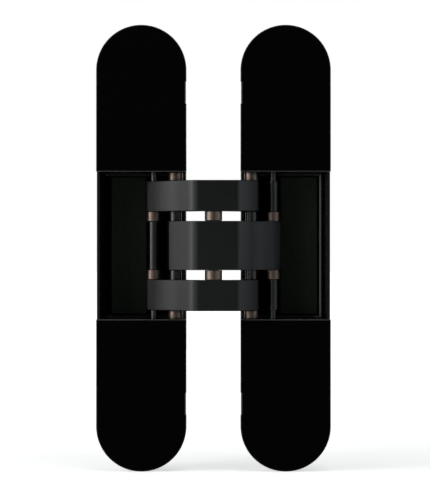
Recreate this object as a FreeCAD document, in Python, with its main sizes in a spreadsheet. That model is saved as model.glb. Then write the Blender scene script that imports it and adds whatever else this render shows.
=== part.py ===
import FreeCAD, Part
import Sketcher
import math
import os
from types import SimpleNamespace

# A concealed hinge for a wooden door, opened flat. Two mortised cups stand side by side, the frame cup at
# the left and the door cup at the right, and three cranked arms cross on one centre pin between them.
# X runs from the frame cup to the door cup, Y runs into the wood and Z runs up. The origin is the middle of
# the frame cup, on the plane where its flange seats in the mortise. All lengths are in millimetres.

SIZES = [
    # cups and their covers
    ("leaf_width", 24.0),
    ("leaf_length", 118.8),
    ("leaf_gap", 14.4),
    ("cover_overhang", 0.2),
    ("cover_thickness", 1.8),
    ("cover_edge_radius", 0.25),
    ("notch_end_distance", 18.0),
    ("notch_length", 6.0),
    ("notch_depth", 0.25),
    ("prong_offset", 7.6),
    ("prong_end_distance", 16.4),
    ("prong_width", 2.4),
    ("prong_thickness", 1.2),
    ("prong_length", 3.0),
    ("prong_clearance", 0.15),
    ("seat_depth", 10.0),
    ("cup_depth", 22.0),
    ("cup_wall", 0.7),
    ("cup_floor", 2.2),
    ("pocket_rise", 0.7),
    ("pocket_corner_radius", 3.0),
    ("cup_back_radius", 1.2),
    ("cheek_drop", 0.1),
    ("cheek_end_gap", 0.1),
    ("inner_wall_depth", 7.2),
    # fixing screw holes in the ends of the cups
    ("fixing_end_distance", 10.9),
    ("fixing_hole_radius", 2.3),
    ("fixing_sink_depth", 2.4),
    # bearing plates with their feet, clamp screws and adjusting screws
    ("plate_thickness", 3.4),
    ("plate_top_depth", 2.0),
    ("plate_fit", 0.1),
    ("plate_floor_gap", 0.2),
    ("foot_half_width", 6.6),
    ("foot_thickness", 2.0),
    ("shelf_depth", 5.6),
    ("clamp_offset", 4.0),
    ("clamp_radius", 1.25),
    ("clamp_length", 7.0),
    ("clamp_head_radius", 2.3),
    ("adjuster_radius", 1.6),
    ("adjuster_length", 6.0),
    ("adjuster_head_radius", 2.6),
    ("screw_head_height", 1.4),
    ("screw_hole_clearance", 0.15),
    ("screw_thread_fit", 0.02),
    ("hex_across", 2.0),
    ("hex_depth", 1.0),
    # how far the core and the foot reach, and its screws stand, from the plate to the fixing hole, as shares
    ("core_share", 0.64),
    ("clamp_share", 0.16),
    ("adjuster_share", 0.37),
    ("foot_share", 0.5),
    # linkage: distances from the inner side of the cup and depths behind its face
    ("pivot_inset", 3.0),
    ("pivot_depth", 5.0),
    ("slider_inset", 8.8),
    ("slider_depth", 7.6),
    ("centre_rise", 3.4),
    ("closed_gap", 4.0),
    # arms
    ("wide_arm_height", 13.0),
    ("narrow_arm_height", 8.2),
    ("arm_gap", 2.6),
    ("end_gap", 2.4),
    ("slider_end_radius", 2.3),
    ("pivot_end_radius", 2.2),
    ("hub_radius", 2.5),
    ("long_bend_radius", 4.5),
    ("long_bend_offset", 3.6),
    ("short_bend_radius", 1.6),
    ("short_bend_offset", 6.0),
    ("shoulder_radius", 0.9),
    ("shoulder_inset", 3.9),
    ("crook_radius", 4.0),
    ("arm_edge_chamfer", 0.25),
    # pins, bushes, tubes and slide shoes
    ("pin_radius", 1.1),
    ("pin_end_chamfer", 0.2),
    ("pin_recess", 0.15),
    ("bush_radius", 2.3),
    ("pivot_bush_radius", 2.0),
    ("tube_radius", 1.7),
    ("tube_relief", 0.35),
    ("press_clearance", 0.02),
    ("running_clearance", 0.05),
    ("side_play", 0.05),
    ("shoe_radius", 2.0),
    ("shoe_clearance", 0.06),
]

SHEET = "Sizes"
SLOT_STEPS = 12
SMALL_STEP = 0.001
RELIEF_SHARE = 0.4
FRONT = FreeCAD.Vector(0, -1, 0)
UP = FreeCAD.Vector(0, 0, 1)


class Size:
    """A length with its present number and its formula over the cells of the sheet."""

    def __init__(self, value, text):
        self.value = value
        self.text = text

    def _join(self, sign, other, swap=False):
        first, last = (lift(other), self) if swap else (self, lift(other))
        results = {
            "+": first.value + last.value,
            "-": first.value - last.value,
            "*": first.value * last.value,
            "/": first.value / last.value if last.value else 0.0,
        }
        return Size(results[sign], f"({first.text} {sign} {last.text})")

    def __add__(self, other):
        return self._join("+", other)

    def __sub__(self, other):
        return self._join("-", other)

    def __rsub__(self, other):
        return self._join("-", other, swap=True)

    def __mul__(self, other):
        return self._join("*", other)

    def __truediv__(self, other):
        return self._join("/", other)

    def __neg__(self):
        return self._join("-", 0.0, swap=True)


def lift(number):
    """A plain number as a Size."""
    return number if isinstance(number, Size) else Size(float(number), f"{number:g}")


def fill_sheet(doc):
    """Write every driving dimension to the sheet and give them back by name."""
    sheet = doc.addObject("Spreadsheet::Sheet", SHEET)
    for row, (name, number) in enumerate(SIZES, start=1):
        sheet.set(f"A{row}", name)
        sheet.set(f"B{row}", str(number))
        sheet.setAlias(f"B{row}", name)
    doc.recompute()
    return SimpleNamespace(**{name: Size(float(sheet.get(name)), f"{SHEET}.{name}") for name, _ in SIZES})


doc = FreeCAD.newDocument("ConcealedHinge")
d = fill_sheet(doc)

# places that several pieces share
face_y = -d.seat_depth
half_width = d.leaf_width / 2
half_length = d.leaf_length / 2
body_half_width = half_width - d.cover_overhang
body_half_length = half_length - d.cover_overhang
narrow_arm_start = d.wide_arm_height / 2 + d.arm_gap
narrow_arm_end = narrow_arm_start + d.narrow_arm_height
opening_half = narrow_arm_end + d.end_gap
pocket_middle = d.pocket_rise
opening_top = pocket_middle + opening_half
opening_bottom = pocket_middle - opening_half
pocket_depth = d.cup_depth - d.cup_floor
pocket_half_width = body_half_width - d.cup_wall
plate_half_width = pocket_half_width - d.plate_fit
fixing_height = half_length - d.fixing_end_distance
leaf_spacing = d.leaf_width + d.leaf_gap
middle_x = leaf_spacing / 2
pivot_offset = half_width - d.pivot_inset
slider_offset = half_width - d.slider_inset
pivot_y = d.pivot_depth - d.seat_depth
slider_y = d.slider_depth - d.seat_depth
centre_y = -d.centre_rise - d.seat_depth
arm_front_y = centre_y - d.hub_radius
cup_pin_half = opening_half + d.plate_thickness - d.pin_recess
centre_pin_half = narrow_arm_end - d.pin_recess


def at_depth(depth):
    """The Y of a plane this far behind the face of the hinge."""
    return depth - d.seat_depth


def opening_end(end):
    """The height where the pocket's opening ends: end is 1 at the top and -1 at the bottom."""
    return pocket_middle + opening_half * end


def plate_back(end):
    """The height of the back of the bearing plate at one end of the opening."""
    return opening_end(end) + d.plate_thickness * end


def towards_fixing(end, share):
    """A height part of the way from the back of a bearing plate to the fixing hole beyond it."""
    return plate_back(end) + (fixing_height * end - plate_back(end)) * share


def foot_end(end):
    """The height where a bearing plate's foot ends, past the head of its adjusting screw."""
    return towards_fixing(end, d.foot_share)


def turned(point, angle):
    """A point turned about the origin of the XY plane."""
    return FreeCAD.Vector(
        point.x * math.cos(angle) - point.y * math.sin(angle),
        point.x * math.sin(angle) + point.y * math.cos(angle),
        0,
    )


def linkage():
    """The frame cup's pins at rest, and how far the centre arm and the side arms turn to shut the door."""
    pivot = FreeCAD.Vector(pivot_offset.value, pivot_y.value, 0)
    slider = FreeCAD.Vector(slider_offset.value, slider_y.value, 0)
    centre = FreeCAD.Vector(middle_x.value, centre_y.value, 0)
    far_slider = FreeCAD.Vector(leaf_spacing.value - slider.x, slider.y, 0)
    mirror_y = face_y.value - d.closed_gap.value / 2
    reach = (centre - pivot).Length
    drop = pivot.y - mirror_y
    shut_centre = FreeCAD.Vector(pivot.x - math.sqrt(reach**2 - drop**2), mirror_y, 0)
    open_lean = math.atan2(centre.y - pivot.y, centre.x - pivot.x)
    shut_lean = math.atan2(shut_centre.y - pivot.y, shut_centre.x - pivot.x)
    centre_turn = shut_lean - open_lean
    shut_far_slider = shut_centre + turned(far_slider - centre, centre_turn)
    shut_slider = FreeCAD.Vector(shut_far_slider.x, 2 * mirror_y - shut_far_slider.y, 0)
    open_lean = math.atan2(slider.y - centre.y, slider.x - centre.x)
    shut_lean = math.atan2(shut_slider.y - shut_centre.y, shut_slider.x - shut_centre.x)
    return pivot, slider, centre, centre_turn, shut_lean - open_lean


def slider_place(share):
    """Place of the slider pin in the frame cup, at a share of the way from the open door to the shut door."""
    pivot, slider, centre, centre_turn, side_turn = linkage()
    hub = pivot + turned(centre - pivot, centre_turn * share)
    return hub + turned(slider - centre, side_turn * share)


def tube_place(share, side):
    """Place of a cup's fixed pin as the arm beside it sees it, while the pin leaves the arm's back."""
    pivot, _, centre, centre_turn, side_turn = linkage()
    turn_share = RELIEF_SHARE * share
    hub = pivot + turned(centre - pivot, centre_turn * turn_share)
    place = centre + turned(pivot - hub, -side_turn * turn_share)
    return FreeCAD.Vector(centre.x - (centre.x - place.x) * side, place.y, 0)


def origin_plane(body, role):
    return next(plane for plane in body.Origin.OriginFeatures if plane.Role == role)


def new_body(name):
    return doc.addObject("PartDesign::Body", name)


def new_sketch(body, name, role="XZ_Plane", offset=None):
    """A sketch on an origin plane of its body, moved along the plane's normal by offset."""
    sketch = body.newObject("Sketcher::SketchObject", f"{body.Name}_{name}")
    sketch.AttachmentSupport = [(origin_plane(body, role), "")]
    sketch.MapMode = "FlatFace"
    if offset is not None:
        sketch.setExpression("AttachmentOffset.Base.z", offset.text)
    return sketch


def tie(sketch, kind, *where, size):
    """A driving constraint whose value follows the sheet."""
    size = lift(size)
    index = sketch.addConstraint(Sketcher.Constraint(kind, *where, size.value))
    sketch.setExpression(f"Constraints[{index}]", size.text)


def fix_point(sketch, geometry, point, x, y):
    tie(sketch, "DistanceX", -1, 1, geometry, point, size=x)
    tie(sketch, "DistanceY", -1, 1, geometry, point, size=y)


def flat_point(x, y):
    return FreeCAD.Vector(lift(x).value, lift(y).value, 0)


def rectangle(sketch, left, right, low, high):
    corners = [flat_point(left, low), flat_point(right, low), flat_point(right, high), flat_point(left, high)]
    sides = []
    for start, end in zip(corners, corners[1:] + corners[:1]):
        sides.append(sketch.addGeometry(Part.LineSegment(start, end), False))
    for side, following in zip(sides, sides[1:] + sides[:1]):
        sketch.addConstraint(Sketcher.Constraint("Coincident", side, 2, following, 1))
    for side, level in zip(sides, ("Horizontal", "Vertical", "Horizontal", "Vertical")):
        sketch.addConstraint(Sketcher.Constraint(level, side))
    fix_point(sketch, sides[0], 1, left, low)
    fix_point(sketch, sides[2], 1, right, high)


def disc(sketch, x, y, radius):
    circle = Part.Circle(flat_point(x, y), UP, lift(radius).value)
    index = sketch.addGeometry(circle, False)
    fix_point(sketch, index, 3, x, y)
    tie(sketch, "Radius", index, size=radius)


def arc_geometry(centre, radius, start, end):
    """An arc drawn anticlockwise from one angle to another."""
    return Part.ArcOfCircle(Part.Circle(centre, UP, radius), start, end)


def stadium(sketch, radius, low_centre, high_centre):
    """An upright outline with two round ends, about X = 0."""
    reach = radius.value
    high = sketch.addGeometry(arc_geometry(flat_point(0, high_centre), reach, 0, math.pi), False)
    low = sketch.addGeometry(arc_geometry(flat_point(0, low_centre), reach, math.pi, 2 * math.pi), False)
    left_ends = flat_point(-radius, high_centre), flat_point(-radius, low_centre)
    right_ends = flat_point(radius, low_centre), flat_point(radius, high_centre)
    left = sketch.addGeometry(Part.LineSegment(*left_ends), False)
    right = sketch.addGeometry(Part.LineSegment(*right_ends), False)
    for first, last in ((high, left), (left, low), (low, right), (right, high)):
        sketch.addConstraint(Sketcher.Constraint("Tangent", first, 2, last, 1))
    fix_point(sketch, high, 3, 0, high_centre)
    fix_point(sketch, low, 3, 0, low_centre)
    tie(sketch, "Radius", high, size=radius)


def pad(body, sketch, length, away=False):
    """Material raised from a sketch along its normal, or away from it."""
    feature = body.newObject("PartDesign::Pad", f"{sketch.Name}_pad")
    feature.Profile = sketch
    feature.Reversed = away
    feature.setExpression("Length", length.text)
    return feature


def pocket(body, sketch, depth=None):
    """Material cut against a sketch's normal, all the way through unless a depth is given."""
    feature = body.newObject("PartDesign::Pocket", f"{sketch.Name}_pocket")
    feature.Profile = sketch
    if depth is None:
        feature.Type = "ThroughAll"
    else:
        feature.setExpression("Length", depth.text)
    return feature


def edges_where(feature, test):
    """Names of the feature's edges whose ends and middle all meet a test."""
    names = []
    for number, edge in enumerate(feature.Shape.Edges, start=1):
        middle = edge.valueAt((edge.FirstParameter + edge.LastParameter) / 2)
        points = [vertex.Point for vertex in edge.Vertexes] + [middle]
        if all(test(point) for point in points):
            names.append(f"Edge{number}")
    return names


def dress(body, kind, base, names, size):
    """A fillet or chamfer on named edges of the last feature."""
    feature = body.newObject(f"PartDesign::{kind}", f"{body.Name}_{kind.lower()}_{len(body.Group)}")
    feature.Base = (base, names)
    feature.setExpression("Radius" if kind == "Fillet" else "Size", size.text)
    return feature


def near(number, size):
    return abs(number - size.value) < 1e-4


def sorted_span(first, last):
    return (first, last) if first.value < last.value else (last, first)


def cup():
    """The cast cup: a stadium flange, a deeper core, the open pocket and the seats of what it carries."""
    body = new_body("frame_cup")
    flange_height = d.seat_depth - d.cover_thickness
    flange_top = at_depth(d.cover_thickness)
    straight = body_half_length - body_half_width

    flange = new_sketch(body, "flange")
    stadium(flange, body_half_width, -straight, straight)
    pad(body, flange, flange_height)

    core = new_sketch(body, "core")
    core_bottom = towards_fixing(-1, d.core_share) + body_half_width
    core_top = towards_fixing(1, d.core_share) - body_half_width
    stadium(core, body_half_width, core_bottom, core_top)
    core_pad = pad(body, core, d.cup_depth - d.seat_depth, away=True)
    doc.recompute()
    back = at_depth(d.cup_depth)
    dress(body, "Fillet", core_pad, edges_where(core_pad, lambda p: near(p.y, back)), d.cup_back_radius)

    cheeks = new_sketch(body, "cheeks", offset=-flange_top)
    rectangle(
        cheeks,
        -body_half_width,
        body_half_width,
        opening_bottom + d.cheek_end_gap,
        opening_top - d.cheek_end_gap,
    )
    pad(body, cheeks, d.cover_thickness - d.cheek_drop)

    room = new_sketch(body, "pocket", offset=-face_y)
    plate_room = d.plate_thickness + d.plate_fit
    rectangle(
        room,
        -pocket_half_width,
        pocket_half_width,
        opening_bottom - plate_room,
        opening_top + plate_room,
    )
    room_cut = pocket(body, room, pocket_depth)
    doc.recompute()
    floor_y = at_depth(pocket_depth)
    corner = edges_where(room_cut, lambda p: near(p.y, floor_y) and near(p.x, -pocket_half_width))
    dress(body, "Fillet", room_cut, corner, d.pocket_corner_radius)

    gate = new_sketch(body, "inner_wall", offset=-face_y)
    rectangle(
        gate,
        pocket_half_width - d.cup_wall,
        half_width,
        opening_bottom,
        opening_top,
    )
    pocket(body, gate, d.inner_wall_depth)

    for end, name in ((1, "upper"), (-1, "lower")):
        shelf = new_sketch(body, f"{name}_shelf", offset=-face_y)
        shelf_end = foot_end(end) + d.plate_fit * end
        shelf_half = d.foot_half_width + d.plate_fit
        rectangle(shelf, -shelf_half, shelf_half, *sorted_span(opening_end(end), shelf_end))
        pocket(body, shelf, d.shelf_depth)

        threads = new_sketch(body, f"{name}_threads", offset=-face_y)
        clamp_z = towards_fixing(end, d.clamp_share)
        for side in (1, -1):
            disc(threads, d.clamp_offset * side, clamp_z, d.clamp_radius + d.screw_thread_fit)
        disc(threads, 0, towards_fixing(end, d.adjuster_share), d.adjuster_radius + d.screw_thread_fit)
        foot_top_depth = d.shelf_depth - d.foot_thickness
        pocket(body, threads, foot_top_depth + d.clamp_length + d.screw_hole_clearance)

        slots = new_sketch(body, f"{name}_prong_slots", offset=-face_y)
        for side in (1, -1):
            slot_left = d.prong_offset * side - d.prong_thickness / 2 - d.prong_clearance
            slot_right = d.prong_offset * side + d.prong_thickness / 2 + d.prong_clearance
            slot_middle = (half_length - d.prong_end_distance) * end
            slot_reach = d.prong_width / 2 + d.prong_clearance
            rectangle(slots, slot_left, slot_right, slot_middle - slot_reach, slot_middle + slot_reach)
        pocket(body, slots, d.cover_thickness + d.prong_length + d.prong_clearance)

    holes = new_sketch(body, "fixing_holes", offset=-flange_top)
    for end in (1, -1):
        disc(holes, 0, fixing_height * end, d.fixing_hole_radius)
    holes_cut = pocket(body, holes, flange_height)
    doc.recompute()
    rims = edges_where(holes_cut, lambda p: near(p.y, flange_top) and on_fixing_rim(p))
    sink = dress(body, "Chamfer", holes_cut, rims, d.fixing_sink_depth)
    body.Tip = sink
    return body


def on_fixing_rim(point):
    """Is a point on the rim of a fixing hole?"""
    distance = math.hypot(point.x, abs(point.z) - fixing_height.value)
    return abs(distance - d.fixing_hole_radius.value) < 1e-4


def cover(name, end):
    """A clip-on cover: one round end, a straight end at the pocket, a pry notch and two prongs."""
    body = new_body(name)
    centre_z = (half_length - half_width) * end
    reach = half_width.value
    start = 0 if end > 0 else math.pi

    outline = new_sketch(body, "outline", offset=-face_y)
    cap = arc_geometry(flat_point(0, centre_z), reach, start, start + math.pi)
    first_x = -half_width * end
    straight_z = opening_end(end)
    corners = [
        flat_point(first_x, centre_z),
        flat_point(first_x, straight_z),
        flat_point(-first_x, straight_z),
        flat_point(-first_x, centre_z),
    ]
    round_end = outline.addGeometry(cap, False)
    left = outline.addGeometry(Part.LineSegment(corners[0], corners[1]), False)
    straight = outline.addGeometry(Part.LineSegment(corners[1], corners[2]), False)
    right = outline.addGeometry(Part.LineSegment(corners[2], corners[3]), False)
    outline.addConstraint(Sketcher.Constraint("Tangent", round_end, 2, left, 1))
    outline.addConstraint(Sketcher.Constraint("Tangent", right, 2, round_end, 1))
    outline.addConstraint(Sketcher.Constraint("Coincident", left, 2, straight, 1))
    outline.addConstraint(Sketcher.Constraint("Coincident", straight, 2, right, 1))
    outline.addConstraint(Sketcher.Constraint("Horizontal", straight))
    fix_point(outline, round_end, 3, 0, centre_z)
    tie(outline, "Radius", round_end, size=half_width)
    tie(outline, "DistanceY", -1, 1, straight, 1, size=straight_z)
    sheet = pad(body, outline, d.cover_thickness, away=True)

    notch = new_sketch(body, "notch", offset=-face_y)
    notch_z = (half_length - d.notch_end_distance) * end
    rectangle(
        notch,
        half_width - d.notch_depth,
        half_width + d.notch_depth,
        notch_z - d.notch_length / 2,
        notch_z + d.notch_length / 2,
    )
    sheet = pocket(body, notch)
    doc.recompute()
    rim = edges_where(sheet, lambda p: near(p.y, face_y))
    dress(body, "Fillet", sheet, rim, d.cover_edge_radius)

    prongs = new_sketch(body, "prongs", offset=-at_depth(d.cover_thickness))
    for side in (1, -1):
        prong_x = d.prong_offset * side
        prong_z = (half_length - d.prong_end_distance) * end
        rectangle(
            prongs,
            prong_x - d.prong_thickness / 2,
            prong_x + d.prong_thickness / 2,
            prong_z - d.prong_width / 2,
            prong_z + d.prong_width / 2,
        )
    pad(body, prongs, d.prong_length, away=True)
    return body


def bearing_plate(name, end):
    """The plate at one end of the pocket: a bored seat for the fixed pin, the guide slot and a foot."""
    body = new_body(name)
    back = plate_back(end)
    low, high = sorted_span(opening_end(end), back)

    plate = new_sketch(body, "plate", "XY_Plane", low)
    rectangle(
        plate,
        -plate_half_width,
        plate_half_width,
        at_depth(d.plate_top_depth),
        at_depth(pocket_depth) - d.plate_floor_gap,
    )
    upright = pad(body, plate, high - low)
    doc.recompute()
    floor_y = at_depth(pocket_depth) - d.plate_floor_gap
    corner = edges_where(upright, lambda p: near(p.y, floor_y) and near(p.x, -plate_half_width))
    dress(body, "Fillet", upright, corner, d.pocket_corner_radius)

    foot = new_sketch(body, "foot", offset=-at_depth(d.shelf_depth))
    rectangle(foot, -d.foot_half_width, d.foot_half_width, *sorted_span(back, foot_end(end)))
    pad(body, foot, d.foot_thickness)

    holes = new_sketch(body, "screw_holes", offset=-face_y)
    clamp_z = towards_fixing(end, d.clamp_share)
    for side in (1, -1):
        disc(holes, d.clamp_offset * side, clamp_z, d.clamp_radius + d.screw_hole_clearance)
    disc(holes, 0, towards_fixing(end, d.adjuster_share), d.adjuster_radius + d.screw_hole_clearance)
    pocket(body, holes, d.shelf_depth + d.foot_thickness)

    seat = new_sketch(body, "pin_seat", "XY_Plane", high)
    disc(seat, pivot_offset, pivot_y, d.pin_radius + d.press_clearance)
    pocket(body, seat, high - low)

    slot = new_sketch(body, "guide_slot", "XY_Plane", high)
    draw_slot(slot, slider_place, d.shoe_radius + d.shoe_clearance)
    body.Tip = pocket(body, slot, high - low)
    return body


def draw_slot(sketch, place_at, reach):
    """A slot along a path: two flanks of short arcs, and a round end about the path's start and its end."""
    half_slot = reach.value
    start, end = place_at(0), place_at(1)

    def heading(share):
        return (place_at(share + SMALL_STEP) - place_at(share - SMALL_STEP)).normalize()

    def flank_point(share, side):
        return place_at(share) + turned(heading(share), side * math.pi / 2) * half_slot

    def is_past_start(share, side):
        return (flank_point(share, side) - start).Length > half_slot

    def first_share(side):
        """Where a flank leaves the round end for good: later than at 0 on the inside of a tight bend."""
        if is_past_start(SMALL_STEP, side):
            return 0
        low, high = SMALL_STEP, 0.5
        while high - low > 1e-9:
            middle = (low + high) / 2
            low, high = (low, middle) if is_past_start(middle, side) else (middle, high)
        return high

    curves = []
    corners = {}
    for side in (1, -1):
        first = first_share(side)
        steps = [first + (1 - first) * step / SLOT_STEPS for step in range(SLOT_STEPS + 1)]
        points = [flank_point(share, side) for share in steps]
        corners[side] = points[0], points[-1]
        for number in range(0, SLOT_STEPS, 2):
            curves.append(Part.Arc(*points[number : number + 3]))
    back = start - heading(0) * half_slot
    front = end + heading(1) * half_slot
    curves.append(Part.Arc(corners[1][0], back, corners[-1][0]))
    curves.append(Part.Arc(corners[1][1], front, corners[-1][1]))
    for curve in curves:
        index = sketch.addGeometry(curve, False)
        sketch.addConstraint(Sketcher.Constraint("Block", index))


def belt_line(first, last):
    """The tangent from one roller to the next with both at its left, and the way its right side looks."""
    (start, start_radius), (end, end_radius) = first, last
    along = end - start
    lean = (start_radius - end_radius) / along.Length
    along.normalize()
    right = FreeCAD.Vector(along.y, -along.x, 0)
    outward = along * lean + right * math.sqrt(1 - lean**2)
    return start + outward * start_radius, end + outward * end_radius, outward


def touching_both(first, last, radius):
    """The middle of a circle that touches two belt lines from outside."""
    one, other = first[2], last[2]
    one_level = one.dot(first[0]) + radius
    other_level = other.dot(last[0]) + radius
    area = one.x * other.y - one.y * other.x
    return FreeCAD.Vector(
        (one_level * other.y - other_level * one.y) / area,
        (one.x * other_level - other.x * one_level) / area,
        0,
    )


def draw_belt(sketch, rollers):
    """A belt round rollers (middle, radius), anticlockwise, with arcs and lines that stay tangent."""
    lines = [belt_line(roller, rollers[(number + 1) % len(rollers)]) for number, roller in enumerate(rollers)]
    line_names = [sketch.addGeometry(Part.LineSegment(line[0], line[1]), False) for line in lines]
    arc_names = []
    for number, (middle, radius) in enumerate(rollers):
        side = math.copysign(1, radius)
        looks = [lines[number - 1][2] * side, lines[number][2] * side]
        if radius < 0:
            looks.reverse()
        start, end = (math.atan2(look.y, look.x) for look in looks)
        end = end if end > start else end + 2 * math.pi
        arc_names.append(sketch.addGeometry(arc_geometry(middle, abs(radius), start, end), False))
        first_point, last_point = (1, 2) if radius > 0 else (2, 1)
        arriving, leaving = line_names[number - 1], line_names[number]
        sketch.addConstraint(Sketcher.Constraint("Tangent", arriving, 2, arc_names[number], first_point))
        sketch.addConstraint(Sketcher.Constraint("Tangent", arc_names[number], last_point, leaving, 1))
    return arc_names, line_names


def arm(name, low, height, side, bored_for_pivot, bored_for_centre):
    """A cranked arm. Side is 1 where the slider is in the frame cup, and -1 for the mirrored arm."""

    def across(offset):
        return middle_x - (middle_x - offset) * side

    slider_x = across(slider_offset)
    pivot_x = across(leaf_spacing - pivot_offset)
    body = new_body(name)
    outline = new_sketch(body, "outline", "XY_Plane", low)
    draw_arm(outline, slider_x, pivot_x, side)
    bar = pad(body, outline, height)
    doc.recompute()
    rims = edges_where(bar, lambda p: near(p.z, low)) + edges_where(bar, lambda p: near(p.z, low + height))
    dress(body, "Chamfer", bar, rims, d.arm_edge_chamfer)

    relief = new_sketch(body, "tube_relief", "XY_Plane", low + height)
    draw_slot(relief, lambda share: tube_place(share, side), d.tube_radius + d.tube_relief)
    pocket(body, relief, height)

    bores = new_sketch(body, "pin_bores", "XY_Plane", low + height)
    disc(bores, slider_x, slider_y, d.pin_radius + d.press_clearance)
    disc(bores, pivot_x, pivot_y, d.pin_radius + bored_for_pivot)
    disc(bores, middle_x, centre_y, d.pin_radius + bored_for_centre)
    body.Tip = pocket(body, bores, height)
    return body


def draw_arm(sketch, slider_x, pivot_x, side):
    """Outline of an arm: round ends, a shoulder at the pivot, a flat front between two bends and a crook."""
    long_bend_x = middle_x - d.long_bend_offset
    short_bend_x = middle_x + d.short_bend_offset
    shoulder_x = middle_x + (leaf_spacing / 2 - half_width + d.shoulder_inset) * side
    facing_slider_x = middle_x * 2 - slider_x
    slider = flat_point(slider_x, slider_y), d.slider_end_radius.value
    facing_slider = flat_point(facing_slider_x, slider_y), d.slider_end_radius.value
    pivot = flat_point(pivot_x, pivot_y), d.pivot_end_radius.value
    hub = flat_point(middle_x, centre_y), d.hub_radius.value
    long_bend = flat_point(long_bend_x, arm_front_y + d.long_bend_radius), d.long_bend_radius.value
    short_bend = flat_point(short_bend_x, arm_front_y + d.short_bend_radius), d.short_bend_radius.value

    front = belt_line(short_bend, facing_slider) if side > 0 else belt_line(facing_slider, long_bend)
    inset = d.shoulder_radius.value
    run = (shoulder_x.value - front[0].x + front[2].x * inset) / (front[1].x - front[0].x)
    shoulder = front[0] + (front[1] - front[0]) * run - front[2] * inset, inset
    if side > 0:
        belt = {
            "slider": slider,
            "long_bend": long_bend,
            "short_bend": short_bend,
            "shoulder": shoulder,
            "pivot": pivot,
        }
    else:
        belt = {
            "pivot": pivot,
            "shoulder": shoulder,
            "long_bend": long_bend,
            "short_bend": short_bend,
            "slider": slider,
        }
    first, *_, last = belt.values()
    back_out, back_in = belt_line(last, hub), belt_line(hub, first)
    belt["crook"] = touching_both(back_out, back_in, d.crook_radius.value), -d.crook_radius.value
    arc_list, line_list = draw_belt(sketch, list(belt.values()))
    arcs = dict(zip(belt, arc_list))
    line_after = dict(zip(belt, line_list))
    front_line = line_after["short_bend"] if side > 0 else line_after["shoulder"]
    before_crook = line_after["pivot"] if side > 0 else line_after["slider"]

    hub_circle = sketch.addGeometry(Part.Circle(hub[0], UP, hub[1]), True)
    facing_circle = sketch.addGeometry(Part.Circle(facing_slider[0], UP, facing_slider[1]), True)
    sketch.addConstraint(Sketcher.Constraint("Tangent", before_crook, hub_circle))
    sketch.addConstraint(Sketcher.Constraint("Tangent", line_after["crook"], hub_circle))
    sketch.addConstraint(Sketcher.Constraint("Tangent", front_line, facing_circle))
    sketch.addConstraint(Sketcher.Constraint("Horizontal", line_after["long_bend"]))
    fix_point(sketch, arcs["slider"], 3, slider_x, slider_y)
    fix_point(sketch, arcs["pivot"], 3, pivot_x, pivot_y)
    fix_point(sketch, hub_circle, 3, middle_x, centre_y)
    fix_point(sketch, facing_circle, 3, facing_slider_x, slider_y)
    for name, place_x in (
        ("long_bend", long_bend_x),
        ("short_bend", short_bend_x),
        ("shoulder", shoulder_x),
    ):
        tie(sketch, "DistanceX", -1, 1, arcs[name], 3, size=place_x)
    tie(sketch, "DistanceY", -1, 1, line_after["long_bend"], 1, size=arm_front_y)
    for index, radius in (
        (arcs["slider"], d.slider_end_radius),
        (arcs["pivot"], d.pivot_end_radius),
        (arcs["long_bend"], d.long_bend_radius),
        (arcs["short_bend"], d.short_bend_radius),
        (arcs["shoulder"], d.shoulder_radius),
        (arcs["crook"], d.crook_radius),
        (hub_circle, d.hub_radius),
        (facing_circle, d.slider_end_radius),
    ):
        tie(sketch, "Radius", index, size=radius)


def rod(name, x, y, low, radius, length, axis=UP):
    """A plain cylinder whose size and place follow the sheet."""
    cylinder = doc.addObject("Part::Cylinder", name)
    cylinder.setExpression("Radius", lift(radius).text)
    cylinder.setExpression("Height", lift(length).text)
    if axis is not UP:
        cylinder.Placement = FreeCAD.Placement(FreeCAD.Vector(), FreeCAD.Rotation(UP, axis))
    for letter, place in zip("xyz", (x, y, low)):
        cylinder.setExpression(f"Placement.Base.{letter}", lift(place).text)
    return cylinder


def cut(name, base, tool):
    result = doc.addObject("Part::Cut", name)
    result.Base = base
    result.Tool = tool
    return result


def group(name, pieces):
    """Separate solids under one name."""
    result = doc.addObject("Part::Compound", name)
    result.Links = pieces
    return result


def pin(name, x, y, half):
    """A steel pin with chamfered ends, reaching half its length each way from the middle of the pocket."""
    blank = rod(f"{name}_blank", x, y, pocket_middle - half, d.pin_radius, half * 2)
    doc.recompute()
    rims = []
    for number, edge in enumerate(blank.Shape.Edges, start=1):
        if isinstance(edge.Curve, Part.Circle):
            rims.append((number, d.pin_end_chamfer.value, d.pin_end_chamfer.value))
    finished = doc.addObject("Part::Chamfer", name)
    finished.Base = blank
    finished.Edges = rims
    return finished


def ring(name, x, y, start, length, radius):
    """A bush, tube or shoe on a pin, standing on a height above the middle of the pocket."""
    low = pocket_middle + start
    outside = rod(f"{name}_outside", x, y, low, radius, length)
    bore = rod(f"{name}_bore", x, y, low, d.pin_radius + d.press_clearance, length)
    return cut(name, outside, bore)


def ring_pair(name, x, y, start, length, radius):
    """Two like rings, one above the middle of the pocket and one below."""
    upper = ring(f"{name}_upper", x, y, start, length, radius)
    lower = ring(f"{name}_lower", x, y, -start - length, length, radius)
    return group(name, [upper, lower])


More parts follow.
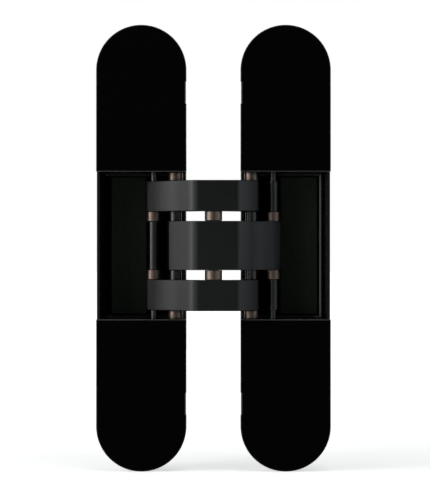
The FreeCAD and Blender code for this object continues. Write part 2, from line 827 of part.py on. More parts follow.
def socket_screw(name, x, z, radius, length, head_radius):
    """A screw through a foot into the cup, with a hexagon socket in its head."""
    head_bottom = at_depth(d.shelf_depth - d.foot_thickness)
    head = rod(f"{name}_head", x, head_bottom, z, head_radius, d.screw_head_height, FRONT)
    shank_end = head_bottom + length
    shank = rod(f"{name}_shank", x, shank_end, z, radius, length, FRONT)
    blank = doc.addObject("Part::Fuse", f"{name}_blank")
    blank.Base = head
    blank.Tool = shank
    hexagon = doc.addObject("Part::Prism", f"{name}_socket")
    hexagon.Polygon = 6
    hexagon.setExpression("Circumradius", (d.hex_across / math.sqrt(3)).text)
    hexagon.setExpression("Height", d.screw_head_height.text)
    hexagon.Placement = FreeCAD.Placement(FreeCAD.Vector(), FreeCAD.Rotation(UP, FRONT))
    socket_bottom = head_bottom - d.screw_head_height + d.hex_depth
    for letter, place in zip("xyz", (x, socket_bottom, z)):
        hexagon.setExpression(f"Placement.Base.{letter}", lift(place).text)
    return cut(name, blank, hexagon)


def clamp_screws(name):
    screws = []
    for end, end_name in ((1, "upper"), (-1, "lower")):
        screw_z = towards_fixing(end, d.clamp_share)
        for side, side_name in ((1, "inner"), (-1, "outer")):
            label = f"{name}_{end_name}_{side_name}"
            sizes = d.clamp_radius, d.clamp_length, d.clamp_head_radius
            screws.append(socket_screw(label, d.clamp_offset * side, screw_z, *sizes))
    return group(name, screws)


def adjusting_screws(name):
    screws = []
    for end, end_name in ((1, "upper"), (-1, "lower")):
        screw_z = towards_fixing(end, d.adjuster_share)
        sizes = d.adjuster_radius, d.adjuster_length, d.adjuster_head_radius
        screws.append(socket_screw(f"{name}_{end_name}", lift(0), screw_z, *sizes))
    return group(name, screws)


def mirrored(name, source):
    """The door side's copy of a frame-side piece, mirrored in the plane half way between the cups."""
    copy = doc.addObject("Part::Mirroring", name)
    copy.Source = source
    copy.Normal = FreeCAD.Vector(1, 0, 0)
    copy.Base = FreeCAD.Vector(middle_x.value, 0, 0)
    copy.setExpression("Base.x", middle_x.text)
    return copy


def frame_side():
    """Every piece that stays in the frame cup."""
    bush_length = d.end_gap - d.side_play
    tube_length = narrow_arm_end - d.wide_arm_height / 2 - d.side_play
    return [
        cup(),
        cover("frame_upper_cover", 1),
        cover("frame_lower_cover", -1),
        bearing_plate("frame_upper_bearing", 1),
        bearing_plate("frame_lower_bearing", -1),
        clamp_screws("frame_clamp_screws"),
        adjusting_screws("frame_adjusting_screws"),
        pin("frame_pivot_pin", pivot_offset, pivot_y, cup_pin_half),
        ring_pair(
            "frame_pivot_bushes", pivot_offset, pivot_y, narrow_arm_end, bush_length, d.pivot_bush_radius
        ),
        ring_pair(
            "frame_pivot_tubes",
            pivot_offset,
            pivot_y,
            d.wide_arm_height / 2 + d.side_play,
            tube_length,
            d.tube_radius,
        ),
    ]


def arms_and_sliders():
    """The centre arm, the two side arms and what their pins carry."""
    wide_half = d.wide_arm_height / 2
    narrow_low = pocket_middle - narrow_arm_end
    far_slider_x = leaf_spacing - slider_offset
    far_pivot_x = leaf_spacing - pivot_offset
    shoe_length = d.plate_thickness - d.pin_recess * 2
    shoe_start = opening_half + d.pin_recess
    hub_bush_start = wide_half + d.side_play
    hub_bush_length = d.arm_gap - d.side_play
    run, press = d.running_clearance, d.press_clearance
    pieces = [
        arm("centre_arm", pocket_middle - wide_half, d.wide_arm_height, -1, run, run),
        arm("upper_side_arm", pocket_middle + narrow_arm_start, d.narrow_arm_height, 1, run, press),
        arm("lower_side_arm", narrow_low, d.narrow_arm_height, 1, run, press),
        pin("centre_pin", middle_x, centre_y, centre_pin_half),
        pin("frame_slider_pin", slider_offset, slider_y, cup_pin_half),
        pin("door_slider_pin", far_slider_x, slider_y, cup_pin_half),
        ring_pair("centre_bushes", middle_x, centre_y, hub_bush_start, hub_bush_length, d.bush_radius),
        ring_pair("frame_slider_bushes", slider_offset, slider_y, wide_half, d.arm_gap, d.bush_radius),
        ring_pair("door_slider_bushes", far_slider_x, slider_y, wide_half, d.arm_gap, d.bush_radius),
        ring("frame_slider_tube", slider_offset, slider_y, -wide_half, d.wide_arm_height, d.tube_radius),
        ring_pair(
            "door_slider_tubes", far_slider_x, slider_y, narrow_arm_start, d.narrow_arm_height, d.tube_radius
        ),
        ring_pair("frame_slide_shoes", slider_offset, slider_y, shoe_start, shoe_length, d.shoe_radius),
        ring_pair("door_slide_shoes", far_slider_x, slider_y, shoe_start, shoe_length, d.shoe_radius),
        ring(
            "door_pivot_tube",
            far_pivot_x,
            pivot_y,
            -narrow_arm_start + d.side_play,
            (narrow_arm_start - d.side_play) * 2,
            d.tube_radius,
        ),
    ]
    return pieces


def door_side(frame_pieces):
    """The door cup's pieces, as mirror images of the frame cup's."""
    shared = [piece for piece in frame_pieces if piece.Name != "frame_pivot_tubes"]
    return [mirrored(piece.Name.replace("frame_", "door_"), piece) for piece in shared]


def write_parts(pieces):
    """Check the whole document, then write one file for each sub-part."""
    doc.recompute()
    for item in doc.Objects:
        if "Invalid" in item.State or "Error" in item.State:
            raise RuntimeError(f"{item.Name} failed: {item.State}")
    for piece in pieces:
        if piece.Shape.isNull() or not piece.Shape.isValid() or not piece.Shape.Solids:
            raise RuntimeError(f"{piece.Label} has no valid solid")
    os.makedirs("parts", exist_ok=True)
    for piece in pieces:
        piece.Shape.exportStep(os.path.join("parts", f"{piece.Label}.step"))


frame_pieces = frame_side()
moving_pieces = arms_and_sliders()
doc.recompute()
door_pieces = door_side(frame_pieces)
all_pieces = frame_pieces + moving_pieces + door_pieces
for part_piece in all_pieces:
    part_piece.Label = part_piece.Name
write_parts(all_pieces)
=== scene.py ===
import math

import bmesh
import bpy
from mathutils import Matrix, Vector


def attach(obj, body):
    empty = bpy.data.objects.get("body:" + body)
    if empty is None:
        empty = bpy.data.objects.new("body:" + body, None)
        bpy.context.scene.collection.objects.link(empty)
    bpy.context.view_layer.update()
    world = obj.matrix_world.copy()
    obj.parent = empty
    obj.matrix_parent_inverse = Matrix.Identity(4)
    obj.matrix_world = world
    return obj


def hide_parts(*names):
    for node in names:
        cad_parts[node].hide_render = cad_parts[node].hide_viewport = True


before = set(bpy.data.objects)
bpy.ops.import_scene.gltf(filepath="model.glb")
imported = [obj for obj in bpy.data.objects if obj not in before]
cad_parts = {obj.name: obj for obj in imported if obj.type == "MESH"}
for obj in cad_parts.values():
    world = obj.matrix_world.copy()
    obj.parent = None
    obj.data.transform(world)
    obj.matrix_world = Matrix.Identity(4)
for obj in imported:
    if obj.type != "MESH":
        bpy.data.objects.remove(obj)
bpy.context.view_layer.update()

# The looks of a concealed door hinge, opened flat: two mortised cups with clip-on covers, three cranked arms
# that cross on one centre pin, and the pins, bushes, tubes, shoes and screws that carry them. Lengths are in
# millimetres until a mesh is made. X runs from the frame cup to the door cup, Y into the wood and Z up.

MM = 0.001
LEAF_SPACING = 38.4
MIDDLE_X = LEAF_SPACING / 2
LEAF_HALF_WIDTH = 12.0
LEAF_HALF_LENGTH = 59.4
BODY_HALF_WIDTH = 11.8
BODY_HALF_LENGTH = 59.2
FACE_Y = -10.0
FLANGE_TOP_Y = -8.2
CHEEK_TOP_Y = -9.9
CUP_BACK_Y = 12.0
POCKET_HALF_WIDTH = 11.1
POCKET_FLOOR_Y = 9.8
POCKET_CORNER = 3.0
POCKET_MIDDLE = 0.7
OPENING_HALF = 19.7
OPENING_ENDS = {1: POCKET_MIDDLE + OPENING_HALF, -1: POCKET_MIDDLE - OPENING_HALF}
INNER_WALL_X = 10.4
INNER_WALL_TOP_Y = -2.8
FLOOR_PLATE = (-8.7, 0.8, OPENING_ENDS[-1] + 1.1, OPENING_ENDS[1] - 1.0)
FLOOR_RECESS = (-10.3, 10.2, OPENING_ENDS[-1] + 0.6, OPENING_ENDS[1] - 0.6)
FLOOR_RECESS_Y = 10.9
FLOOR_CHANNEL_X = (-10.25, -9.6)
BEAD_SECTION = ((0.65, 10.95), (0.65, 9.75), (1.15, 9.63), (1.3, 9.75), (1.3, 10.95))
PLATE_THICKNESS = 3.4
PLATE_HALF_WIDTH = 11.0
PLATE_FRONT_Y = -8.0
PLATE_FLOOR_Y = 9.6
PLATE_FIT = 0.1
PLATE_BACKS = {end: OPENING_ENDS[end] + PLATE_THICKNESS * end for end in (1, -1)}
FIXING_HEIGHT = 48.5
FIXING_RADIUS = 2.3
SINK_RADIUS = 4.7
SINK_DEPTH = 1.2
SHELF_Y = -4.4
FOOT_TOP_Y = -6.4
FOOT_HALF_WIDTH = 6.6
CLAMP_OFFSET = 4.0
CLAMP_THREAD_RADIUS = 1.27
CLAMP_HOLE_RADIUS = 1.4
ADJUSTER_THREAD_RADIUS = 1.62
ADJUSTER_HOLE_RADIUS = 1.75
THREAD_END_Y = 0.75
PRONG_OFFSET = 7.6
PRONG_HEIGHT = 43.0
PRONG_HALF_WIDTH = 0.6
PRONG_HALF_HEIGHT = 1.2
PRONG_LENGTH = 3.0
PRONG_FIT = 0.15
NOTCH_MIDDLE = 41.4
NOTCH_END = ((0.0, 3.05), (0.07, 2.95), (0.25, 2.8))
PIVOT = Vector((9.0, -5.0))
SLIDER = Vector((3.2, -2.4))
CENTRE = Vector((MIDDLE_X, -13.4))
CLOSED_MIRROR_Y = -12.0
TUBE_RELIEF_SHARE = 0.4
ARM_FRONT_Y = -15.9
WIDE_ARM_HALF = 6.5
NARROW_ARM = (9.1, 17.3)
SLIDER_END_RADIUS = 2.3
PIVOT_END_RADIUS = 2.2
LONG_BEND_REACH, LONG_BEND_RADIUS = 3.6, 4.5
SHORT_BEND_REACH, SHORT_BEND_RADIUS = 6.0, 1.6
SHOULDER_REACH, SHOULDER_RADIUS = 11.1, 0.9
CROOK_RADIUS = 4.0
HUB_RADIUS = 2.5
RELIEF_RADIUS = 2.05
GUIDE_RADIUS = 2.06
PIN_RADIUS = 1.1
RUNNING_FIT = 0.05
SEAT_FIT = 0.02
PAST = 1.0

SAME_PLACE = 1e-5
WELD_DISTANCE = 0.00001
SLIVER_LENGTH = 0.0000002
BEVEL_ANGLE = 40
SHARP_ANGLE = 48

collection = bpy.context.scene.collection


def arc(centre, radius, start, end, step=4.0):
    """Points on an arc between two angles in degrees."""
    count = max(2, int(math.ceil(abs(end - start) / step)))
    points = []
    for number in range(count + 1):
        angle = math.radians(start + (end - start) * number / count)
        across, up = radius * math.cos(angle), radius * math.sin(angle)
        points.append(Vector((centre[0] + across, centre[1] + up)))
    return points


def without_repeats(points):
    """The points of a closed outline, each place once."""
    kept = [points[0]]
    for point in points[1:]:
        if (point - kept[-1]).length > SAME_PLACE:
            kept.append(point)
    if (kept[0] - kept[-1]).length < SAME_PLACE:
        kept.pop()
    return kept


def stadium(half_width, low, high):
    """An upright outline with round ends whose tips are at two heights."""
    top = arc((0, high - half_width), half_width, 0, 180, step=2.5)
    bottom = arc((0, low + half_width), half_width, 180, 360, step=2.5)
    return without_repeats(top + bottom)


def rectangle(left, right, low, high):
    return [Vector((left, low)), Vector((right, low)), Vector((right, high)), Vector((left, high))]


def circle(centre, radius, step=6.0):
    return without_repeats(arc(centre, radius, 0, 360, step))


def belt_line(first, last):
    """The tangent from one roller (centre, radius) to the next with both at its left, and how it faces."""
    (start, start_radius), (end, end_radius) = first, last
    along = end - start
    lean = (start_radius - end_radius) / along.length
    along = along.normalized()
    outward = along * lean + Vector((along.y, -along.x)) * math.sqrt(1 - lean**2)
    return start + outward * start_radius, end + outward * end_radius, outward


def belt(rollers, large_radius=3.0, large_step=3.0, small_step=5.0):
    """The outline of a belt round rollers, anticlockwise. A radius below 0 bends the belt inwards."""
    joins = [belt_line(*pair)[2] for pair in zip(rollers, rollers[1:] + rollers[:1])]
    points = []
    for number, (centre, radius) in enumerate(rollers):
        arriving, leaving = joins[number - 1], joins[number]
        start = math.degrees(math.atan2(arriving.y, arriving.x))
        turn = math.degrees(arriving.angle_signed(leaving)) * -1
        step = large_step if abs(radius) > large_radius else small_step
        count = max(2, int(math.ceil(abs(turn) / step)))
        for index in range(count + 1):
            angle = math.radians(start + turn * index / count)
            points.append(centre + Vector((math.cos(angle), math.sin(angle))) * radius)
    return without_repeats(points)


def rotated(point, angle):
    across, up = math.cos(angle), math.sin(angle)
    return Vector((point.x * across - point.y * up, point.x * up + point.y * across))


def swing():
    """How far the centre arm and the side arms turn, in radians, until the door is shut."""
    reach = (CENTRE - PIVOT).length
    drop = PIVOT.y - CLOSED_MIRROR_Y
    shut_centre = Vector((PIVOT.x - math.sqrt(reach**2 - drop**2), CLOSED_MIRROR_Y))
    far_slider = Vector((LEAF_SPACING - SLIDER.x, SLIDER.y))
    open_arm, shut_arm = CENTRE - PIVOT, shut_centre - PIVOT
    centre_turn = math.atan2(shut_arm.y, shut_arm.x) - math.atan2(open_arm.y, open_arm.x)
    shut_far = shut_centre + rotated(far_slider - CENTRE, centre_turn)
    shut_slider = Vector((shut_far.x, 2 * CLOSED_MIRROR_Y - shut_far.y))
    open_side, shut_side = SLIDER - CENTRE, shut_slider - shut_centre
    side_turn = math.atan2(shut_side.y, shut_side.x) - math.atan2(open_side.y, open_side.x)
    return centre_turn, side_turn


CENTRE_TURN, SIDE_TURN = swing()


def slider_place(share):
    """Where the slider pin stands in the frame cup, part of the way from open to shut."""
    hub = PIVOT + rotated(CENTRE - PIVOT, CENTRE_TURN * share)
    return hub + rotated(SLIDER - CENTRE, SIDE_TURN * share)


def tube_place(share):
    """Where a cup's fixed pin stands for the arm beside it, in the first part of the way."""
    share *= TUBE_RELIEF_SHARE
    hub = PIVOT + rotated(CENTRE - PIVOT, CENTRE_TURN * share)
    return CENTRE + rotated(PIVOT - hub, -SIDE_TURN * share)


def slot_outline(place_at, half, steps=36, nudge=0.001, inside=1e-4):
    """The outline that a disc of this radius sweeps along a path."""
    places = [place_at(number / steps) for number in range(steps + 1)]
    flanks = {1: [], -1: []}
    for number, place in enumerate(places):
        share = number / steps
        ahead = (place_at(share + nudge) - place_at(share - nudge)).normalized()
        for side in (1, -1):
            point = place + Vector((-ahead.y, ahead.x)) * half * side
            if (point - places[0]).length > half - inside:
                flanks[side].append(point)

    def cap(centre, first, last):
        start = math.degrees(math.atan2(first.y - centre.y, first.x - centre.x))
        end = math.degrees(math.atan2(last.y - centre.y, last.x - centre.x))
        return arc(centre, half, start, end if end < start else end - 360, step=8)[1:-1]

    left, right = flanks[1], flanks[-1]
    end_cap = cap(places[-1], left[-1], right[-1])
    start_cap = cap(places[0], right[0], left[0])
    return without_repeats(left + end_cap + right[::-1] + start_cap)[::-1]


def towards_fixing(end, share):
    """A height part of the way from the back of a bearing plate to the fixing hole beyond it."""
    return PLATE_BACKS[end] + (FIXING_HEIGHT * end - PLATE_BACKS[end]) * share


CLAMP_HEIGHTS = {end: towards_fixing(end, 0.16) for end in (1, -1)}
ADJUSTER_HEIGHTS = {end: towards_fixing(end, 0.37) for end in (1, -1)}
FOOT_ENDS = {end: towards_fixing(end, 0.5) for end in (1, -1)}
CORE_ENDS = {end: towards_fixing(end, 0.64) for end in (1, -1)}


def new_object(name, mesh):
    made = bpy.data.objects.new(name, mesh)
    collection.objects.link(made)
    return made


def rounded(low, high, low_radius=0.0, high_radius=0.0, steps=4):
    """Levels of a prism whose rims are rounded: pairs of a level and the inset of the outline there."""
    levels = []
    for number in range(steps + 1) if low_radius else [steps]:
        angle = math.radians(90 * number / steps)
        levels.append((low + low_radius * (1 - math.cos(angle)), low_radius * (1 - math.sin(angle))))
    for number in range(steps, -1, -1) if high_radius else [steps]:
        angle = math.radians(90 * number / steps)
        levels.append((high - high_radius * (1 - math.cos(angle)), high_radius * (1 - math.sin(angle))))
    return levels


def solid(name, outline, low, high, axis="Z", low_radius=0.0, high_radius=0.0):
    """A prism along Z or Y, with rounded rims where a radius is given."""
    return prism(name, outline, rounded(low, high, low_radius, high_radius), axis)


def prism(name, outline, levels, axis="Z"):
    """Loops of an outline at levels along Z or Y, each drawn in by its inset, skinned and closed."""
    mesh = bpy.data.meshes.new(name)
    shape = bmesh.new()
    loops = []
    for level, inset in levels:
        loop = []
        for number, point in enumerate(outline):
            moved = point + place_offset(outline, number, inset)
            spot = (moved.x, moved.y, level) if axis == "Z" else (moved.x, level, moved.y)
            loop.append(shape.verts.new([length * MM for length in spot]))
        loops.append(loop)
    for lower, upper in zip(loops, loops[1:]):
        for number in range(len(lower)):
            following = (number + 1) % len(lower)
            shape.faces.new((lower[number], lower[following], upper[following], upper[number]))
    shape.faces.new(loops[0])
    shape.faces.new(loops[-1])
    bmesh.ops.recalc_face_normals(shape, faces=shape.faces)
    shape.to_mesh(mesh)
    shape.free()
    return new_object(name, mesh)


def place_offset(outline, number, inset):
    """How a corner of an anticlockwise outline moves when the outline shrinks by an inset."""
    if not inset:
        return Vector((0, 0))
    before = outline[number] - outline[number - 1]
    after = outline[(number + 1) % len(outline)] - outline[number]
    side = Vector((-before.y, before.x)).normalized()
    inward = (side + Vector((-after.y, after.x)).normalized()).normalized()
    return inward * (inset / inward.dot(side))


def applied(piece):
    """The piece with its modifiers made part of its mesh."""
    depsgraph = bpy.context.evaluated_depsgraph_get()
    mesh = bpy.data.meshes.new_from_object(piece.evaluated_get(depsgraph))
    piece.modifiers.clear()
    piece.data = mesh
    return piece


def joined(piece, others, operation):
    for other in others:
        modifier = piece.modifiers.new("shape", "BOOLEAN")
        modifier.operation = operation
        modifier.solver = "EXACT"
        modifier.object = other
    applied(piece)
    for other in others:
        bpy.data.objects.remove(other)
    return piece


def softened(piece, radius, segments=2):
    """Round the piece's sharp edges and shade its faces smoothly between them."""
    weld = piece.modifiers.new("weld", "WELD")
    weld.merge_threshold = WELD_DISTANCE
    if radius:
        bevel = piece.modifiers.new("edges", "BEVEL")
        bevel.width = radius * MM
        bevel.segments = segments
        bevel.limit_method = "ANGLE"
        bevel.angle_limit = math.radians(BEVEL_ANGLE)
        bevel.use_clamp_overlap = True
        bevel.miter_outer = "MITER_ARC"
    applied(piece)
    shape = bmesh.new()
    shape.from_mesh(piece.data)
    bmesh.ops.dissolve_degenerate(shape, dist=SLIVER_LENGTH, edges=shape.edges)
    shape.to_mesh(piece.data)
    shape.free()
    return smoothed(piece)


def smoothed(piece):
    """Shade the piece smoothly between its sharp edges, with the large faces kept flat."""
    piece.data.shade_smooth()
    piece.data.set_sharp_from_angle(angle=math.radians(SHARP_ANGLE))
    normals = piece.modifiers.new("normals", "WEIGHTED_NORMAL")
    normals.keep_sharp = True
    return applied(piece)


def mirrored(piece, name):
    """A copy of a frame-side piece for the door side, mirrored half way between the cups."""
    mesh = piece.data.copy()
    mesh.name = name
    shape = bmesh.new()
    shape.from_mesh(mesh)
    for corner in shape.verts:
        corner.co.x = 2 * MIDDLE_X * MM - corner.co.x
    bmesh.ops.reverse_faces(shape, faces=shape.faces)
    shape.to_mesh(mesh)
    shape.free()
    return new_object(name, mesh)


def on_both_sides(piece, node_name, material, slot, radius=0.0, segments=2):
    """Finish a frame-side piece and its mirror image for the door side."""
    softened(piece, radius, segments=segments)
    twin = smoothed(mirrored(piece, piece.name.replace("frame_", "door_")))
    for side, made in (("frame", piece), ("door", twin)):
        finished(made, material, f"{side}_side", slot, node_name.replace("frame", side))
    return piece, twin


def finished(piece, material, body, slot, *nodes):
    """Give the piece its finish and its CAD body, and let it stand for CAD nodes."""
    piece.data.materials.clear()
    piece.data.materials.append(material)
    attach(piece, body)
    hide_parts(*nodes)
    return piece


def group_with(name, inputs, outputs):
    tree = bpy.data.node_groups.new(name, "ShaderNodeTree")
    for label, kind, value in inputs:
        socket = tree.interface.new_socket(label, in_out="INPUT", socket_type=kind)
        if value is not None:
            socket.default_value = value
    for label, kind in outputs:
        tree.interface.new_socket(label, in_out="OUTPUT", socket_type=kind)
    entry = tree.nodes.new("NodeGroupInput")
    leave = tree.nodes.new("NodeGroupOutput")
    return tree, entry.outputs, leave.inputs


def node(tree, kind, **settings):
    made = tree.nodes.new(kind)
    for name, value in settings.items():
        setattr(made, name, value)
    return made


def linked(tree, made, **sources):
    """Link or set a node's inputs by their names, and give its first output."""
    for name, source in sources.items():
        socket = made.inputs[name.replace("_", " ")]
        if isinstance(source, bpy.types.NodeSocket):
            tree.links.new(source, socket)
        else:
            socket.default_value = source
    return made.outputs[0]


def math_node(tree, operation, first, second):
    made = node(tree, "ShaderNodeMath", operation=operation)
    for socket, value in zip(made.inputs, (first, second)):
        if isinstance(value, (int, float)):
            socket.default_value = value
        else:
            tree.links.new(value, socket)
    return made.outputs[0]


def noise(tree, **sources):
    return linked(tree, node(tree, "ShaderNodeTexNoise"), **sources)


def ramp(tree, **sources):
    return linked(tree, node(tree, "ShaderNodeMapRange"), **sources)


TEXTURE_OUTPUTS = [(label, "NodeSocketFloat") for label in ("Tone", "Roughness", "Height")]
MASK_OUTPUT = [("Mask", "NodeSocketFloat")]


def texture_out(tree, entry, leave, tone, height, unevenness):
    """Send on a texture's tone and height, and a roughness that varies about its middle."""
    tree.links.new(tone, leave["Tone"])
    tree.links.new(height, leave["Height"])
    from_middle = math_node(tree, "SUBTRACT", unevenness, 0.5)
    spread = math_node(tree, "MULTIPLY", from_middle, entry["Roughness Spread"])
    tree.links.new(math_node(tree, "ADD", entry["Roughness"], spread), leave["Roughness"])
    return tree


def grain_group(fine_share=0.6):
    """Fine grain and slow mottling of a coated, cast or moulded surface."""
    tree, entry, leave = group_with(
        "Surface Grain",
        [
            ("Vector", "NodeSocketVector", None),
            ("Grain Scale", "NodeSocketFloat", 4000.0),
            ("Mottle Scale", "NodeSocketFloat", 120.0),
            ("Roughness", "NodeSocketFloat", 0.5),
            ("Roughness Spread", "NodeSocketFloat", 0.1),
        ],
        TEXTURE_OUTPUTS,
    )
    fine = noise(tree, Vector=entry["Vector"], Scale=entry["Grain Scale"], Detail=3.0, Roughness=0.6)
    slow = noise(tree, Vector=entry["Vector"], Scale=entry["Mottle Scale"], Detail=4.0)
    fine_part = math_node(tree, "MULTIPLY", fine, fine_share)
    tone = math_node(tree, "ADD", fine_part, math_node(tree, "MULTIPLY", slow, 1 - fine_share))
    return texture_out(tree, entry, leave, tone, fine, slow)


def brushing_group():
    """Fine streaks left by grinding or turning, drawn out along one direction of the vector."""
    tree, entry, leave = group_with(
        "Machining Streaks",
        [
            ("Vector", "NodeSocketVector", None),
            ("Streak Scale", "NodeSocketVector", (200.0, 200.0, 9000.0)),
            ("Roughness", "NodeSocketFloat", 0.3),
            ("Roughness Spread", "NodeSocketFloat", 0.15),
        ],
        TEXTURE_OUTPUTS,
    )
    stretch = node(tree, "ShaderNodeVectorMath", operation="MULTIPLY")
    tree.links.new(entry["Vector"], stretch.inputs[0])
    tree.links.new(entry["Streak Scale"], stretch.inputs[1])
    streaks = noise(tree, Vector=stretch.outputs["Vector"], Scale=1.0, Detail=3.0)
    return texture_out(tree, entry, leave, streaks, streaks, streaks)


def edge_wear_and_highlight_group():
    """A mask of the outward edges, where the colour is lighter: partly wear where a finish is thinner,
    partly a painted highlight.
    """
    tree, entry, leave = group_with(
        "Edge Sheen",
        [
            ("Vector", "NodeSocketVector", None),
            ("Reach", "NodeSocketFloat", 0.0002),
            ("Amount", "NodeSocketFloat", 0.5),
        ],
        MASK_OUTPUT,
    )
    around = linked(tree, node(tree, "ShaderNodeBevel", samples=6), Radius=entry["Reach"])
    geometry = node(tree, "ShaderNodeNewGeometry")
    dot = node(tree, "ShaderNodeVectorMath", operation="DOT_PRODUCT")
    tree.links.new(around, dot.inputs[0])
    tree.links.new(geometry.outputs["Normal"], dot.inputs[1])
    bend = math_node(tree, "SUBTRACT", 1.0, dot.outputs["Value"])
    sharp = ramp(tree, Value=bend, From_Min=0.01, From_Max=0.25)
    mask = math_node(tree, "MULTIPLY", sharp, noise(tree, Vector=entry["Vector"], Scale=300.0))
    tree.links.new(math_node(tree, "MULTIPLY", mask, entry["Amount"]), leave["Mask"])
    return tree


def painted_rim_highlight_group():
    """A mask of the rounded rims between the front of a piece and its sides, where a highlight is painted
    into the colour.
    """
    tree, entry, leave = group_with(
        "Rim Sheen",
        [
            ("Vector", "NodeSocketVector", None),
            ("Normal", "NodeSocketVector", None),
            ("Amount", "NodeSocketFloat", 0.5),
        ],
        MASK_OUTPUT,
    )
    parts = node(tree, "ShaderNodeSeparateXYZ")
    linked(tree, parts, Vector=entry["Normal"])
    forward = math_node(tree, "MULTIPLY", parts.outputs["Y"], parts.outputs["Y"])
    sideways = math_node(tree, "SUBTRACT", 1.0, forward)
    bend = math_node(tree, "MULTIPLY", math_node(tree, "MULTIPLY", forward, sideways), 4.0)
    uneven = math_node(tree, "ADD", noise(tree, Vector=entry["Vector"], Scale=250.0), 0.5)
    mask = math_node(tree, "MULTIPLY", bend, uneven)
    tree.links.new(math_node(tree, "MULTIPLY", mask, entry["Amount"]), leave["Mask"])
    return tree


def painted_end_light_group():
    """A mask that rises along X from one place to another, for light painted onto the arm ends."""
    tree, entry, leave = group_with(
        "Ground End",
        [
            ("Vector", "NodeSocketVector", None),
            ("Start", "NodeSocketFloat", 0.0),
            ("Full", "NodeSocketFloat", 0.01),
        ],
        MASK_OUTPUT,
    )
    parts = node(tree, "ShaderNodeSeparateXYZ")
    linked(tree, parts, Vector=entry["Vector"])
    rise = ramp(tree, Value=parts.outputs["X"], From_Min=entry["Start"], From_Max=entry["Full"])
    tree.links.new(math_node(tree, "POWER", rise, 1.6), leave["Mask"])
    return tree


GRAIN = grain_group()
STREAKS = brushing_group()
EDGE_WEAR_AND_HIGHLIGHT = edge_wear_and_highlight_group()
PAINTED_RIM_HIGHLIGHT = painted_rim_highlight_group()
PAINTED_END_LIGHT = painted_end_light_group()


def placed_group(tree, group, **sources):
    """The outputs of a shared group, with its inputs linked or set."""
    made = node(tree, "ShaderNodeGroup", node_tree=group)
    linked(tree, made, **sources)
    return made.outputs


def mixed(tree, factor, dark, light):
    made = node(tree, "ShaderNodeMix", data_type="RGBA")
    tree.links.new(factor, made.inputs["Factor"])
    for socket, value in ((made.inputs["A"], dark), (made.inputs["B"], light)):
        if isinstance(value, tuple):
            socket.default_value = (*value, 1.0)
        else:
            tree.links.new(value, socket)
    return made.outputs["Result"]


def finish(
    name, dark, light, metallic, texture, bump, edge=None, rim=None, end=None, specular=0.5, sheen=0.0,
    **values
):
    """A procedural finish: two tones over a texture, its roughness and bump, edge wear with a painted edge
    highlight, a painted rim highlight and painted light at the ends.
    """
    material = bpy.data.materials.new(name)
    material.use_nodes = True
    tree = material.node_tree
    places = node(tree, "ShaderNodeTexCoord").outputs
    spot = places["Object"]
    pattern = placed_group(tree, texture, Vector=spot, **values)
    colour = mixed(tree, pattern["Tone"], dark, light)
    if edge:
        # The edge colour is partly edge wear and partly a painted highlight.
        mask = placed_group(tree, EDGE_WEAR_AND_HIGHLIGHT, Vector=spot, Amount=edge[1])["Mask"]
        colour = mixed(tree, mask, colour, edge[0])
    if end:
        # Painted light: the arm ends are made lighter where the cup walls keep the lamps' light from them.
        mask = placed_group(tree, PAINTED_END_LIGHT, Vector=spot, Start=end[1], Full=end[2])["Mask"]
        colour = mixed(tree, mask, colour, end[0])
    if rim:
        # Painted highlight: a lighter colour on the rounded rims, found by the object-space normal.
        mask = placed_group(tree, PAINTED_RIM_HIGHLIGHT, Vector=spot, Normal=places["Normal"], Amount=rim[1])["Mask"]
        colour = mixed(tree, mask, colour, rim[0])
    relief = node(tree, "ShaderNodeBump")
    linked(tree, relief, Strength=bump, Distance=0.00005, Height=pattern["Height"])
    surface = tree.nodes["Principled BSDF"]
    linked(tree, surface, Base_Color=colour, Roughness=pattern["Roughness"], Normal=relief.outputs["Normal"])
    linked(tree, surface, Metallic=metallic, Specular_IOR_Level=specular)
    linked(tree, surface, Sheen_Weight=sheen, Sheen_Roughness=0.4)
    return material


# The covers' rim colour is a painted highlight along their rounded rims.
COVER_BLACK = finish(
    "cover matt black", (0.0002, 0.0002, 0.00021), (0.0006, 0.0006, 0.00062), 0.0, GRAIN, 0.25,
    rim=((0.07, 0.07, 0.071), 1.5), specular=0.01, sheen=0.12,
    Grain_Scale=6000.0, Mottle_Scale=90.0, Roughness=0.5, Roughness_Spread=0.1,
)
# The edge colours in the finishes below are partly edge wear and partly a painted highlight.
CUP_COAT = finish(
    "cup satin black coat", (0.0012, 0.0013, 0.0012), (0.0026, 0.0028, 0.0026), 0.0, GRAIN, 0.3,
    edge=((0.05, 0.052, 0.05), 0.6), specular=0.3,
    Grain_Scale=2600.0, Mottle_Scale=160.0, Roughness=0.27, Roughness_Spread=0.08,
)
CUP_EDGE = finish(
    "cup polished edge", (0.04, 0.042, 0.04), (0.06, 0.062, 0.06), 1.0, GRAIN, 0.05,
    Grain_Scale=2600.0, Mottle_Scale=160.0, Roughness=0.2, Roughness_Spread=0.05,
)
FLOOR_GRAIN = finish(
    "pocket floor drawn grain", (0.015, 0.0182, 0.0138), (0.038, 0.0445, 0.0354), 0.0, STREAKS, 0.5,
    specular=0.1,
    Streak_Scale=(3500.0, 3500.0, 300.0), Roughness=0.5, Roughness_Spread=0.2,
)
PLATE_COAT = finish(
    "bearing plate coat", (0.0025, 0.0026, 0.0025), (0.005, 0.0052, 0.005), 0.0, GRAIN, 0.4,
    edge=((0.04, 0.04, 0.04), 0.6), specular=0.25,
    Grain_Scale=3000.0, Mottle_Scale=150.0, Roughness=0.45, Roughness_Spread=0.15,
)
